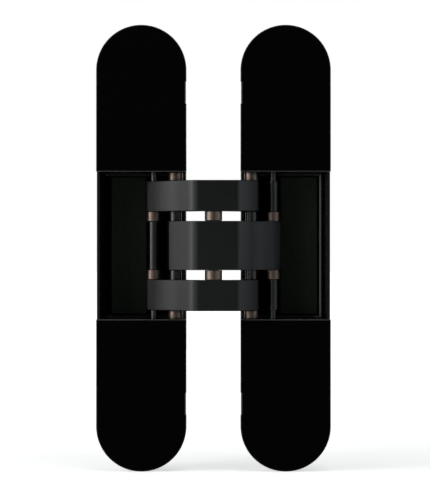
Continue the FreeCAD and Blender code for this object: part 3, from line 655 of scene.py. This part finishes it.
# The two arm finishes differ only in the painted light at their slider ends.
ARM_GRAPHITE = {
    side: finish(
        f"arm graphite satin, {name}", (0.026, 0.026, 0.0265), (0.035, 0.035, 0.036), 1.0, GRAIN, 0.1,
        edge=((0.06, 0.06, 0.062), 0.4),
        end=(light, (MIDDLE_X - start * side) * MM, (MIDDLE_X - full * side) * MM),
        Grain_Scale=5000.0, Mottle_Scale=200.0, Roughness=0.34, Roughness_Spread=0.06,
    )
    for side, name, light, start, full in (
        (1, "slider at the left", (0.12, 0.12, 0.1225), 8.5, 17.0),
        (-1, "slider at the right", (0.22, 0.22, 0.226), 10.0, 15.5),
    )
}
BUSH_BRONZE = finish(
    "bush sintered bronze", (0.1, 0.073, 0.061), (0.17, 0.128, 0.109), 1.0, GRAIN, 0.3,
    edge=((0.23, 0.17, 0.143), 0.4),
    Grain_Scale=4500.0, Mottle_Scale=400.0, Roughness=0.34, Roughness_Spread=0.12,
)
PIN_STEEL = finish(
    "pin dark ground steel", (0.045, 0.0435, 0.042), (0.07, 0.0685, 0.067), 1.0, STREAKS, 0.04,
    Streak_Scale=(600.0, 600.0, 5000.0), Roughness=0.28, Roughness_Spread=0.03,
)
TUBE_STEEL = finish(
    "tube dark steel", (0.036, 0.0353, 0.0353), (0.054, 0.0533, 0.0533), 1.0, STREAKS, 0.03,
    Streak_Scale=(500.0, 500.0, 4000.0), Roughness=0.27, Roughness_Spread=0.02,
)
SCREW_ZINC = finish(
    "screw zinc plate", (0.32, 0.32, 0.33), (0.5, 0.5, 0.52), 1.0, STREAKS, 0.15,
    Streak_Scale=(900.0, 900.0, 900.0), Roughness=0.3, Roughness_Spread=0.2,
)
SHOE_POLYMER = finish(
    "shoe dark polymer", (0.03, 0.03, 0.03), (0.05, 0.05, 0.05), 0.0, GRAIN, 0.2, specular=0.4,
    Grain_Scale=3000.0, Mottle_Scale=200.0, Roughness=0.5, Roughness_Spread=0.1,
)


def across_middle(place, side):
    """A place of the frame side, or its mirror image on the door side where side is -1."""
    return Vector((MIDDLE_X - (MIDDLE_X - place.x) * side, place.y))


def arm(name, low, high, slider_at_left):
    """A cranked arm with its bores and the relief for the neighbouring tube."""
    side = 1 if slider_at_left else -1
    slider, pivot = across_middle(SLIDER, side), across_middle(PIVOT, -side)
    long_bend = Vector((MIDDLE_X - LONG_BEND_REACH, ARM_FRONT_Y + LONG_BEND_RADIUS)), LONG_BEND_RADIUS
    short_bend = Vector((MIDDLE_X + SHORT_BEND_REACH, ARM_FRONT_Y + SHORT_BEND_RADIUS)), SHORT_BEND_RADIUS
    ends = [(slider, SLIDER_END_RADIUS), (pivot, PIVOT_END_RADIUS)]
    facing_slider = across_middle(SLIDER, -side), SLIDER_END_RADIUS
    front = (short_bend, facing_slider) if slider_at_left else (facing_slider, long_bend)
    shoulder = roller_on_line(*front, MIDDLE_X + SHOULDER_REACH * side, SHOULDER_RADIUS)
    if slider_at_left:
        rollers = [ends[0], long_bend, short_bend, shoulder, ends[1]]
    else:
        rollers = [ends[1], shoulder, long_bend, short_bend, ends[0]]
    outline = belt(rollers + [crook_roller(rollers[0], rollers[-1])])
    bar = solid(name, outline, low, high)

    def relief_place(share):
        return across_middle(tube_place(share), side)

    shapes = [circle(spot, PIN_RADIUS + RUNNING_FIT) for spot in (slider, pivot, CENTRE)]
    shapes.append(slot_outline(relief_place, RELIEF_RADIUS, steps=10))
    joined(bar, [solid("bore", shape, low - PAST, high + PAST) for shape in shapes], "DIFFERENCE")
    return softened(bar, 0.22, segments=3)


def roller_on_line(first, last, place_x, radius):
    """A roller that touches the front line between two others from behind, at an X."""
    start, end, outward = belt_line(first, last)
    run = (place_x - start.x + outward.x * radius) / (end.x - start.x)
    return start + (end - start) * run - outward * radius, radius


def crook_roller(first, second):
    """The inward bend behind the hub, tangent to the lines that hold the hub from both sides."""
    hub = CENTRE, HUB_RADIUS
    sides = []
    for start, _, outward in (belt_line(second, hub), belt_line(hub, first)):
        sides.append((outward, outward.dot(start) + CROOK_RADIUS))
    (one, one_level), (other, other_level) = sides
    area = one.x * other.y - one.y * other.x
    across = (one_level * other.y - other_level * one.y) / area
    deep = (one.x * other_level - other.x * one_level) / area
    return Vector((across, deep)), -CROOK_RADIUS


def arms():
    for name, reach, slider_at_left, body, node_name in (
        ("centre_arm_satin", (-WIDE_ARM_HALF, WIDE_ARM_HALF), False, "centre_link", "centre_arm"),
        ("upper_side_arm_satin", NARROW_ARM, True, "side_links", "upper_side_arm"),
        ("lower_side_arm_satin", (-NARROW_ARM[1], -NARROW_ARM[0]), True, "side_links", "lower_side_arm"),
    ):
        low, high = (POCKET_MIDDLE + height for height in reach)
        bar = arm(name, low, high, slider_at_left)
        finished(bar, ARM_GRAPHITE[1 if slider_at_left else -1], body, "arm_graphite", node_name)


def cover_outline(end):
    """A cover seen from the front: a round end, a straight end at the pocket and a pry notch."""
    straight = OPENING_ENDS[end] * end
    centre = LEAF_HALF_LENGTH - LEAF_HALF_WIDTH
    notch = [(inset, NOTCH_MIDDLE - away) for inset, away in NOTCH_END]
    notch += [(inset, NOTCH_MIDDLE + away) for inset, away in reversed(NOTCH_END)]
    points = [Vector((LEAF_HALF_WIDTH - inset, height)) for inset, height in [(0.0, straight)] + notch]
    points += arc((0, centre), LEAF_HALF_WIDTH, 0, 180, step=2.0)
    points.append(Vector((-LEAF_HALF_WIDTH, straight)))
    points = without_repeats(points)
    if end < 0:
        points = [Vector((point.x, -point.y)) for point in points[::-1]]
    return points


def prong_section(side, end, fit=0.0):
    """A prong seen from the front, or its slot where a fit is given."""
    across, up = PRONG_OFFSET * side, PRONG_HEIGHT * end
    half_width, half_height = PRONG_HALF_WIDTH + fit, PRONG_HALF_HEIGHT + fit
    return rectangle(across - half_width, across + half_width, up - half_height, up + half_height)


def covers():
    """The clip-on covers, each with a rounded rim and two tapered prongs behind."""
    root, tip = FLANGE_TOP_Y - 0.4, FLANGE_TOP_Y + PRONG_LENGTH
    for end, end_name in ((1, "upper"), (-1, "lower")):
        name = f"frame_{end_name}_cover"
        outline = cover_outline(end)
        sheet = solid(f"{name}_shell", outline, FACE_Y, FLANGE_TOP_Y, "Y", low_radius=0.25, high_radius=0.12)
        sections = [prong_section(side, end) for side in (1, -1)]
        prongs = [solid("prong", section, root, tip, "Y", high_radius=0.35) for section in sections]
        joined(sheet, prongs, "UNION")
        on_both_sides(sheet, name, COVER_BLACK, "cover_black")


def rounded_corner(half_width, front, floor):
    """A section across the pins, open at the front, with a large round at its outer corner."""
    corner = Vector((-half_width + POCKET_CORNER, floor - POCKET_CORNER))
    points = [Vector((-half_width, front)), Vector((half_width, front)), Vector((half_width, floor))]
    return without_repeats(points + arc(corner, POCKET_CORNER, 90, 180, step=5.0))


def cups():
    """The cast cups: a stadium flange, a deeper core, and cuts for the arms, plates, screws and prongs."""
    half = BODY_HALF_WIDTH
    front = FACE_Y - PAST
    bottom, top = OPENING_ENDS[-1], OPENING_ENDS[1]
    flange = stadium(half, -BODY_HALF_LENGTH, BODY_HALF_LENGTH)
    cup = solid("frame_cup_casting", flange, FLANGE_TOP_Y, 0.0, "Y")
    core = solid("core", stadium(half, CORE_ENDS[-1], CORE_ENDS[1]), -1.0, CUP_BACK_Y, "Y", high_radius=1.2)
    cheek = rectangle(-half, half, bottom + 0.1, top - 0.1)
    joined(cup, [core, solid("cheek", cheek, CHEEK_TOP_Y, FLANGE_TOP_Y + PAST, "Y")], "UNION")
    pocket = rounded_corner(POCKET_HALF_WIDTH, front, POCKET_FLOOR_Y)
    cuts = [
        solid("pocket", pocket, PLATE_BACKS[-1] - PLATE_FIT, PLATE_BACKS[1] + PLATE_FIT),
        solid("gate", rectangle(INNER_WALL_X, half + 1.2, bottom, top), front, INNER_WALL_TOP_Y, "Y"),
    ]
    shelf_half = FOOT_HALF_WIDTH + PLATE_FIT
    for end in (1, -1):
        shelf_ends = sorted((OPENING_ENDS[end] - 0.5 * end, FOOT_ENDS[end] + PLATE_FIT * end))
        cuts.append(solid("shelf", rectangle(-shelf_half, shelf_half, *shelf_ends), front, SHELF_Y, "Y"))
        for side in (1, -1):
            thread = circle((CLAMP_OFFSET * side, CLAMP_HEIGHTS[end]), CLAMP_THREAD_RADIUS, step=15.0)
            cuts.append(solid("thread", thread, SHELF_Y - PAST, THREAD_END_Y, "Y"))
            slot = prong_section(side, end, PRONG_FIT)
            cuts.append(solid("prong slot", slot, front, FLANGE_TOP_Y + PRONG_LENGTH + PRONG_FIT, "Y"))
        thread = circle((0.0, ADJUSTER_HEIGHTS[end]), ADJUSTER_THREAD_RADIUS, step=15.0)
        cuts.append(solid("thread", thread, SHELF_Y - PAST, THREAD_END_Y, "Y"))
        cuts.append(sunk_hole(FIXING_HEIGHT * end))
    cuts.append(solid("recess", rectangle(*FLOOR_RECESS), POCKET_FLOOR_Y - PAST, FLOOR_RECESS_Y, "Y"))
    channel = rectangle(*FLOOR_CHANNEL_X, bottom + 0.1, top - 0.1)
    cuts.append(solid("channel", channel, POCKET_FLOOR_Y - 1.1, FLOOR_RECESS_Y - 0.1, "Y"))
    joined(cup, cuts, "DIFFERENCE")
    for made in on_both_sides(cup, "frame_cup", CUP_COAT, "cup_black", 0.14):
        # Painted shade: the recess floor that the floor plate leaves bare takes the near-black cover finish,
        # standing in for the shadow deep in the hollow.
        made.data.materials.append(COVER_BLACK)
        for face in made.data.polygons:
            if face.center.y > (FLOOR_RECESS_Y - 0.05) * MM and face.normal.y < -0.9:
                face.material_index = 1


def floor_plates():
    """The thin drawn plates let into the pockets' floors, and a small sloped bead beside the door's."""
    left, right, low, high = FLOOR_PLATE
    far_left, far_right = LEAF_SPACING - right, LEAF_SPACING - left + 0.4
    frame_plate = rectangle(left, right, low, high)
    door_plate = rectangle(far_left, far_right, low, high)
    bead = [Vector((far_right + across, depth)) for across, depth in BEAD_SECTION]
    plate_levels = POCKET_FLOOR_Y, FLOOR_RECESS_Y + 0.05
    bead_levels = OPENING_ENDS[-1] + 0.15, OPENING_ENDS[1] - 0.15
    for name, outline, levels, axis, material, side in (
        ("frame_floor_plate", frame_plate, plate_levels, "Y", FLOOR_GRAIN, "frame_side"),
        ("door_floor_plate", door_plate, plate_levels, "Y", FLOOR_GRAIN, "door_side"),
        ("door_floor_bead", bead, bead_levels, "Z", CUP_EDGE, "door_side"),
    ):
        strip = softened(solid(name, outline, *levels, axis, low_radius=0.03), 0.0)
        strip.data.materials.append(material)
        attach(strip, side)


def sunk_hole(height):
    """The space of a countersunk wood screw through the flange."""
    outline = circle((0.0, height), SINK_RADIUS, step=10.0)
    hole = solid("fixing hole", outline, FLANGE_TOP_Y - PAST, FLANGE_TOP_Y, "Y")
    sink = solid("sink", outline, FLANGE_TOP_Y - 0.01, PAST, "Y")
    for corner in sink.data.vertices:
        if corner.co.y > 0:
            corner.co.x *= FIXING_RADIUS / SINK_RADIUS
            corner.co.z = height * MM + (corner.co.z - height * MM) * FIXING_RADIUS / SINK_RADIUS
    bore = circle((0.0, height), FIXING_RADIUS, step=10.0)
    return joined(hole, [sink, solid("bore", bore, FLANGE_TOP_Y + SINK_DEPTH, PAST, "Y")], "UNION")


def bearing_plates():
    """The upright plates that hold the fixed pin and guide the slider's shoes, with their feet."""
    outline = rounded_corner(PLATE_HALF_WIDTH, PLATE_FRONT_Y, PLATE_FLOOR_Y)
    for end, end_name in ((1, "upper"), (-1, "lower")):
        name = f"frame_{end_name}_bearing"
        low, high = sorted((OPENING_ENDS[end], PLATE_BACKS[end]))
        plate = solid(f"{name}_plate", outline, low, high)
        foot_ends = sorted((PLATE_BACKS[end] - 0.5 * end, FOOT_ENDS[end]))
        foot = rectangle(-FOOT_HALF_WIDTH, FOOT_HALF_WIDTH, *foot_ends)
        joined(plate, [solid("foot", foot, FOOT_TOP_Y, SHELF_Y, "Y")], "UNION")
        seats = [slot_outline(slider_place, GUIDE_RADIUS), circle(PIVOT, PIN_RADIUS + SEAT_FIT)]
        cuts = [solid("seat", seat, low - PAST, high + PAST) for seat in seats]
        holes = [circle((0.0, ADJUSTER_HEIGHTS[end]), ADJUSTER_HOLE_RADIUS, step=10.0)]
        for side in (1, -1):
            holes.append(circle((CLAMP_OFFSET * side, CLAMP_HEIGHTS[end]), CLAMP_HOLE_RADIUS, step=10.0))
        cuts += [solid("screw hole", hole, FOOT_TOP_Y - PAST, SHELF_Y + PAST, "Y") for hole in holes]
        joined(plate, cuts, "DIFFERENCE")
        on_both_sides(plate, name, PLATE_COAT, "bearing_black", 0.15)


def pins():
    """The ground pins, with chamfered ends and a shallow turned ring near each end."""
    cup_half = OPENING_HALF + PLATE_THICKNESS - 0.15
    for name, place, half, body in (
        ("frame_pivot_pin", PIVOT, cup_half, "frame_side"),
        ("door_pivot_pin", across_middle(PIVOT, -1), cup_half, "door_side"),
        ("frame_slider_pin", SLIDER, cup_half, "side_links"),
        ("door_slider_pin", across_middle(SLIDER, -1), cup_half, "centre_link"),
        ("centre_pin", CENTRE, NARROW_ARM[1] - 0.15, "side_links"),
    ):
        low, high = POCKET_MIDDLE - half, POCKET_MIDDLE + half
        levels = [(0.0, 0.2), (0.2, 0.0), (0.9, 0.0), (1.0, 0.06), (1.2, 0.06), (1.3, 0.0)]
        rims = [(low + step, inset) for step, inset in levels]
        rims += [(high - step, inset) for step, inset in reversed(levels)]
        rod = prism(f"{name}_ground", circle(place, PIN_RADIUS, step=7.5), rims)
        finished(softened(rod, 0.0), PIN_STEEL, body, "pin_steel", name)


def tree_with(name, lengths):
    """An empty Geometry Nodes tree that starts from points and takes named lengths and a material."""
    tree = bpy.data.node_groups.new(name, "GeometryNodeTree")
    tree.is_modifier = True
    tree.interface.new_socket("Geometry", in_out="INPUT", socket_type="NodeSocketGeometry")
    for label in lengths:
        tree.interface.new_socket(label, in_out="INPUT", socket_type="NodeSocketFloat")
    tree.interface.new_socket("Material", in_out="INPUT", socket_type="NodeSocketMaterial")
    tree.interface.new_socket("Geometry", in_out="OUTPUT", socket_type="NodeSocketGeometry")
    return tree, tree.nodes.new("NodeGroupInput").outputs, tree.nodes.new("NodeGroupOutput").inputs


def onto_points(tree, entry, leave, shape, turn=(0.0, 0.0, 0.0)):
    """Put the shape on every point, make it real and give it its material."""
    placed = node(tree, "GeometryNodeInstanceOnPoints")
    linked(tree, placed, Points=entry["Geometry"], Instance=shape, Rotation=turn)
    real = linked(tree, node(tree, "GeometryNodeRealizeInstances"), Geometry=placed.outputs[0])
    dressed = node(tree, "GeometryNodeSetMaterial")
    linked(tree, dressed, Geometry=real, Material=entry["Material"])
    tree.links.new(dressed.outputs[0], leave["Geometry"])


def ring_tree():
    """Bushes, tubes and shoes: a wall with rounded rims, swept round a pin."""
    tree, entry, leave = tree_with("Rings On A Pin", ("Radius", "Bore", "Length", "Rim"))
    wall = math_node(tree, "SUBTRACT", entry["Radius"], entry["Bore"])
    middle = math_node(tree, "MULTIPLY", math_node(tree, "ADD", entry["Radius"], entry["Bore"]), 0.5)
    path = linked(tree, node(tree, "GeometryNodeCurvePrimitiveCircle"), Resolution=64, Radius=middle)
    section = node(tree, "GeometryNodeCurvePrimitiveQuadrilateral")
    linked(tree, section, Width=wall, Height=entry["Length"])
    filleted = node(tree, "GeometryNodeFilletCurve", mode="POLY")
    linked(tree, filleted, Curve=section.outputs[0], Count=4, Radius=entry["Rim"])
    swept = node(tree, "GeometryNodeCurveToMesh")
    linked(tree, swept, Curve=path, Profile_Curve=filleted.outputs[0])
    onto_points(tree, entry, leave, swept.outputs[0])
    return tree


def screw_tree(overlap=0.0004, socket_depth=0.001):
    """Socket screws: a head with a hexagon socket, on a shank that overlaps the head."""
    lengths = ("Head Radius", "Head Height", "Radius", "Length", "Across")
    tree, entry, leave = tree_with("Socket Screws", lengths)

    def cylinder(radius, length, sides, middle):
        barrel = node(tree, "GeometryNodeMeshCylinder")
        linked(tree, barrel, Vertices=sides, Radius=radius, Depth=length)
        lift = linked(tree, node(tree, "ShaderNodeCombineXYZ"), Z=middle)
        moved = node(tree, "GeometryNodeTransform")
        return linked(tree, moved, Geometry=barrel.outputs[0], Translation=lift)

    half_head = math_node(tree, "MULTIPLY", entry["Head Height"], 0.5)
    half_shank = math_node(tree, "MULTIPLY", entry["Length"], -0.5)
    across_corners = math_node(tree, "DIVIDE", entry["Across"], math.sqrt(3))
    head = cylinder(entry["Head Radius"], entry["Head Height"], 48, half_head)
    shank_length = math_node(tree, "ADD", entry["Length"], overlap)
    shank = cylinder(entry["Radius"], shank_length, 32, half_shank)
    socket = cylinder(across_corners, 2 * socket_depth, 6, entry["Head Height"])
    whole = node(tree, "GeometryNodeMeshBoolean", operation="UNION")
    tree.links.new(head, whole.inputs["Mesh 2"])
    tree.links.new(shank, whole.inputs["Mesh 2"])
    sunk = node(tree, "GeometryNodeMeshBoolean", operation="DIFFERENCE")
    tree.links.new(whole.outputs[0], sunk.inputs["Mesh 1"])
    tree.links.new(socket, sunk.inputs["Mesh 2"])
    onto_points(tree, entry, leave, sunk.outputs[0], (math.radians(90), 0.0, 0.0))
    return tree


def grown(name, points, tree, material, **lengths):
    """A plain mesh of what a Geometry Nodes tree puts on points, its lengths given in millimetres."""
    mesh = bpy.data.meshes.new(name)
    mesh.from_pydata([[length * MM for length in point] for point in points], [], [])
    piece = new_object(name, mesh)
    modifier = piece.modifiers.new("shape", "NODES")
    modifier.node_group = tree
    for item in tree.interface.items_tree:
        label = item.name.replace(" ", "_")
        if label in lengths:
            modifier[item.identifier] = lengths[label] * MM
        elif label == "Material":
            modifier[item.identifier] = material
    applied(piece)
    shape = bmesh.new()
    shape.from_mesh(piece.data)
    bmesh.ops.recalc_face_normals(shape, faces=shape.faces)
    shape.to_mesh(piece.data)
    shape.free()
    return piece


def rings():
    """Every bush, spacer tube and slide shoe, on its pin."""
    tree = ring_tree()
    far_pivot, far_slider = across_middle(PIVOT, -1), across_middle(SLIDER, -1)
    kinds = {
        "bushes": (BUSH_BRONZE, "bush_bronze", 0.18),
        "tubes": (TUBE_STEEL, "pin_steel", 0.12),
        "tube": (TUBE_STEEL, "pin_steel", 0.12),
        "shoes": (SHOE_POLYMER, "shoe_polymer", 0.25),
    }
    beside_plate = NARROW_ARM[1], OPENING_HALF - RUNNING_FIT
    beside_wide = WIDE_ARM_HALF + RUNNING_FIT
    between_plates = -NARROW_ARM[0] + RUNNING_FIT, NARROW_ARM[0] - RUNNING_FIT
    in_plate = OPENING_HALF + 0.15, OPENING_HALF + PLATE_THICKNESS - 0.15
    for name, place, body, radius, start, end in (
        ("frame_pivot_bushes", PIVOT, "frame_side", 2.0, *beside_plate),
        ("door_pivot_bushes", far_pivot, "door_side", 2.0, *beside_plate),
        ("frame_slider_bushes", SLIDER, "side_links", 2.3, WIDE_ARM_HALF, NARROW_ARM[0]),
        ("door_slider_bushes", far_slider, "centre_link", 2.3, WIDE_ARM_HALF, NARROW_ARM[0]),
        ("centre_bushes", CENTRE, "side_links", 2.3, beside_wide, NARROW_ARM[0]),
        ("frame_pivot_tubes", PIVOT, "frame_side", 1.7, beside_wide, NARROW_ARM[1]),
        ("door_slider_tubes", far_slider, "centre_link", 1.7, *NARROW_ARM),
        ("frame_slider_tube", SLIDER, "side_links", 1.7, -WIDE_ARM_HALF, WIDE_ARM_HALF),
        ("door_pivot_tube", far_pivot, "side_links", 1.7, *between_plates),
        ("frame_slide_shoes", SLIDER, "side_links", 2.0, *in_plate),
        ("door_slide_shoes", far_slider, "centre_link", 2.0, *in_plate),
    ):
        middle = (start + end) / 2
        middles = [middle, -middle] if start > 0 else [middle]
        points = [(*place, POCKET_MIDDLE + height) for height in middles]
        material, slot, rim = kinds[name.rsplit("_", 1)[1]]
        sizes = {"Radius": radius, "Bore": PIN_RADIUS + SEAT_FIT, "Length": end - start, "Rim": rim}
        piece = grown(f"{name}_turned", points, tree, material, **sizes)
        finished(softened(piece, 0.0), material, body, slot, name)


def screws():
    """The clamp screws and adjusting screws of the bearing plates."""
    tree = screw_tree()
    ends = turns = (1, -1)
    for side, middle in (("frame", 0.0), ("door", LEAF_SPACING)):
        clamps = [
            (middle + CLAMP_OFFSET * turn, FOOT_TOP_Y, CLAMP_HEIGHTS[end]) for end in ends for turn in turns
        ]
        adjusters = [(middle, FOOT_TOP_Y, ADJUSTER_HEIGHTS[end]) for end in ends]
        for kind, points, head, radius, length in (
            ("clamp_screws", clamps, 2.3, 1.25, 7.0),
            ("adjusting_screws", adjusters, 2.6, 1.6, 6.0),
        ):
            head_sizes = {"Head_Radius": head, "Head_Height": 1.4, "Across": 2.0}
            name = f"{side}_{kind}"
            piece = grown(
                f"{name}_plated", points, tree, SCREW_ZINC, Radius=radius, Length=length, **head_sizes
            )
            finished(softened(piece, 0.12), SCREW_ZINC, f"{side}_side", "screw_steel", name)


def dress_cad_nodes():
    by_ending = {
        "_cover": COVER_BLACK,
        "_cup": CUP_COAT,
        "_bearing": PLATE_COAT,
        "centre_arm": ARM_GRAPHITE[-1],
        "side_arm": ARM_GRAPHITE[1],
        "_bushes": BUSH_BRONZE,
        "_pin": PIN_STEEL,
        "_tube": TUBE_STEEL,
        "_tubes": TUBE_STEEL,
        "_screws": SCREW_ZINC,
        "_shoes": SHOE_POLYMER,
    }
    for name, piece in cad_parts.items():
        for ending, material in by_ending.items():
            if name.endswith(ending):
                piece.data.materials.clear()
                piece.data.materials.append(material)


def camera(distance=0.65, sensor=36.0, photo_height=500, pixels_per_mm=3.762):
    """A long lens square to the face, that shows the hinge as large as the photograph does."""
    data = bpy.data.cameras.new("camera")
    data.sensor_width = sensor
    data.lens = sensor * distance / (photo_height / pixels_per_mm * MM)
    data.clip_start = 0.01
    made = new_object("camera", data)
    made.location = ((MIDDLE_X + 0.41) * MM, FACE_Y * MM - distance, -0.48 * MM)
    made.rotation_euler = (math.radians(90), 0, 0)
    bpy.context.scene.camera = made


def softbox(name, bearing, height, width, tall, radiance, colour, distance=0.8):
    """An area lamp that looks at the hinge: bearing in degrees right of the front, lengths in metres."""
    data = bpy.data.lights.new(name, "AREA")
    data.shape = "RECTANGLE"
    data.size, data.size_y = width, tall
    data.energy = radiance * math.pi * width * tall
    data.color = colour
    made = new_object(name, data)
    angle = math.radians(bearing)
    made.location = (MIDDLE_X * MM + distance * math.sin(angle), -distance * math.cos(angle), height)
    aim = Vector((MIDDLE_X * MM, 0, 0)) - made.location
    made.rotation_euler = aim.to_track_quat("-Z", "Y").to_euler()


def lights():
    """Soft light from the left, a weaker cool fill from the right, and one lamp above."""
    white, cool, cooler = (1.0, 1.0, 1.0), (0.9, 0.95, 1.0), (0.86, 0.92, 1.0)
    for name, bearing, width, radiance, colour in (
        ("left key softbox", -58, 0.28, 5.6, white),
        ("left front softbox", -31, 0.26, 1.4, white),
        ("left far softbox", -82, 0.3, 3.1, white),
        ("right front softbox", 40, 0.3, 0.7, cool),
        ("right softbox", 66, 0.3, 1.2, cooler),
        ("right far softbox", 92, 0.34, 1.15, cooler),
    ):
        softbox(name, bearing, 0.1, width, 0.9, radiance, colour)
    softbox("top softbox", 20, 1.6, 0.8, 0.6, 3.0, white)


def seen_directly(tree):
    """Whether a ray comes from the camera, straight or through glass, and the other kinds of ray."""
    rays = node(tree, "ShaderNodeLightPath").outputs
    return math_node(tree, "MAXIMUM", rays["Is Camera Ray"], rays["Is Transmission Ray"]), rays


def room():
    """White to the camera and in gloss that looks behind the hinge, with a dim tinted glow elsewhere."""
    world = bpy.data.worlds.new("studio")
    bpy.context.scene.world = world
    world.use_nodes = True
    tree = world.node_tree
    direction = node(tree, "ShaderNodeSeparateXYZ")
    linked(tree, direction, Vector=node(tree, "ShaderNodeTexCoord").outputs["Generated"])
    behind = ramp(tree, Value=direction.outputs["Y"], From_Min=-0.1, From_Max=0.3)
    seen, rays = seen_directly(tree)
    mirrored_room = math_node(tree, "MULTIPLY", rays["Is Glossy Ray"], behind)
    shown = math_node(tree, "MAXIMUM", seen, mirrored_room)
    strength = node(tree, "ShaderNodeMix", data_type="FLOAT")
    linked(tree, strength, Factor=shown, A=0.15, B=1.0)
    tint = mixed(tree, shown, (0.86, 1.0, 0.95), (1.0, 1.0, 1.0))
    linked(tree, tree.nodes["Background"], Strength=strength.outputs["Result"], Color=tint)


def floor(half=6):
    """A pale floor that reads as white and keeps the shadow of the hinge."""
    mesh = bpy.data.meshes.new("floor")
    low = (-LEAF_HALF_LENGTH - 0.02) * MM
    corners = [(-half, -half, low), (half, -half, low), (half, half, low), (-half, half, low)]
    mesh.from_pydata(corners, [], [(0, 1, 2, 3)])
    made = new_object("floor", mesh)
    material = bpy.data.materials.new("pale floor")
    material.use_nodes = True
    tree = material.node_tree
    spot = node(tree, "ShaderNodeTexCoord").outputs["Object"]
    tone = placed_group(tree, GRAIN, Vector=spot, Grain_Scale=300.0, Mottle_Scale=4.0)["Tone"]
    paint = mixed(tree, tone, (0.78, 0.78, 0.78), (0.82, 0.82, 0.82))
    distance = node(tree, "ShaderNodeVectorMath", operation="LENGTH")
    tree.links.new(spot, distance.inputs[0])
    away = ramp(tree, Value=distance.outputs["Value"], From_Min=0.1, From_Max=0.7, To_Min=0.6, To_Max=1.0)
    glow = math_node(tree, "MULTIPLY", seen_directly(tree)[0], away)
    surface = tree.nodes["Principled BSDF"]
    linked(tree, surface, Base_Color=paint, Roughness=0.8, Specular_IOR_Level=0.1)
    linked(tree, surface, Emission_Color=(1, 1, 1, 1), Emission_Strength=glow)
    mesh.materials.append(material)


dress_cad_nodes()
arms()
covers()
cups()
floor_plates()
bearing_plates()
pins()
rings()
screws()
camera()
lights()
room()
floor()
bpy.context.scene.view_settings.view_transform = "Standard"
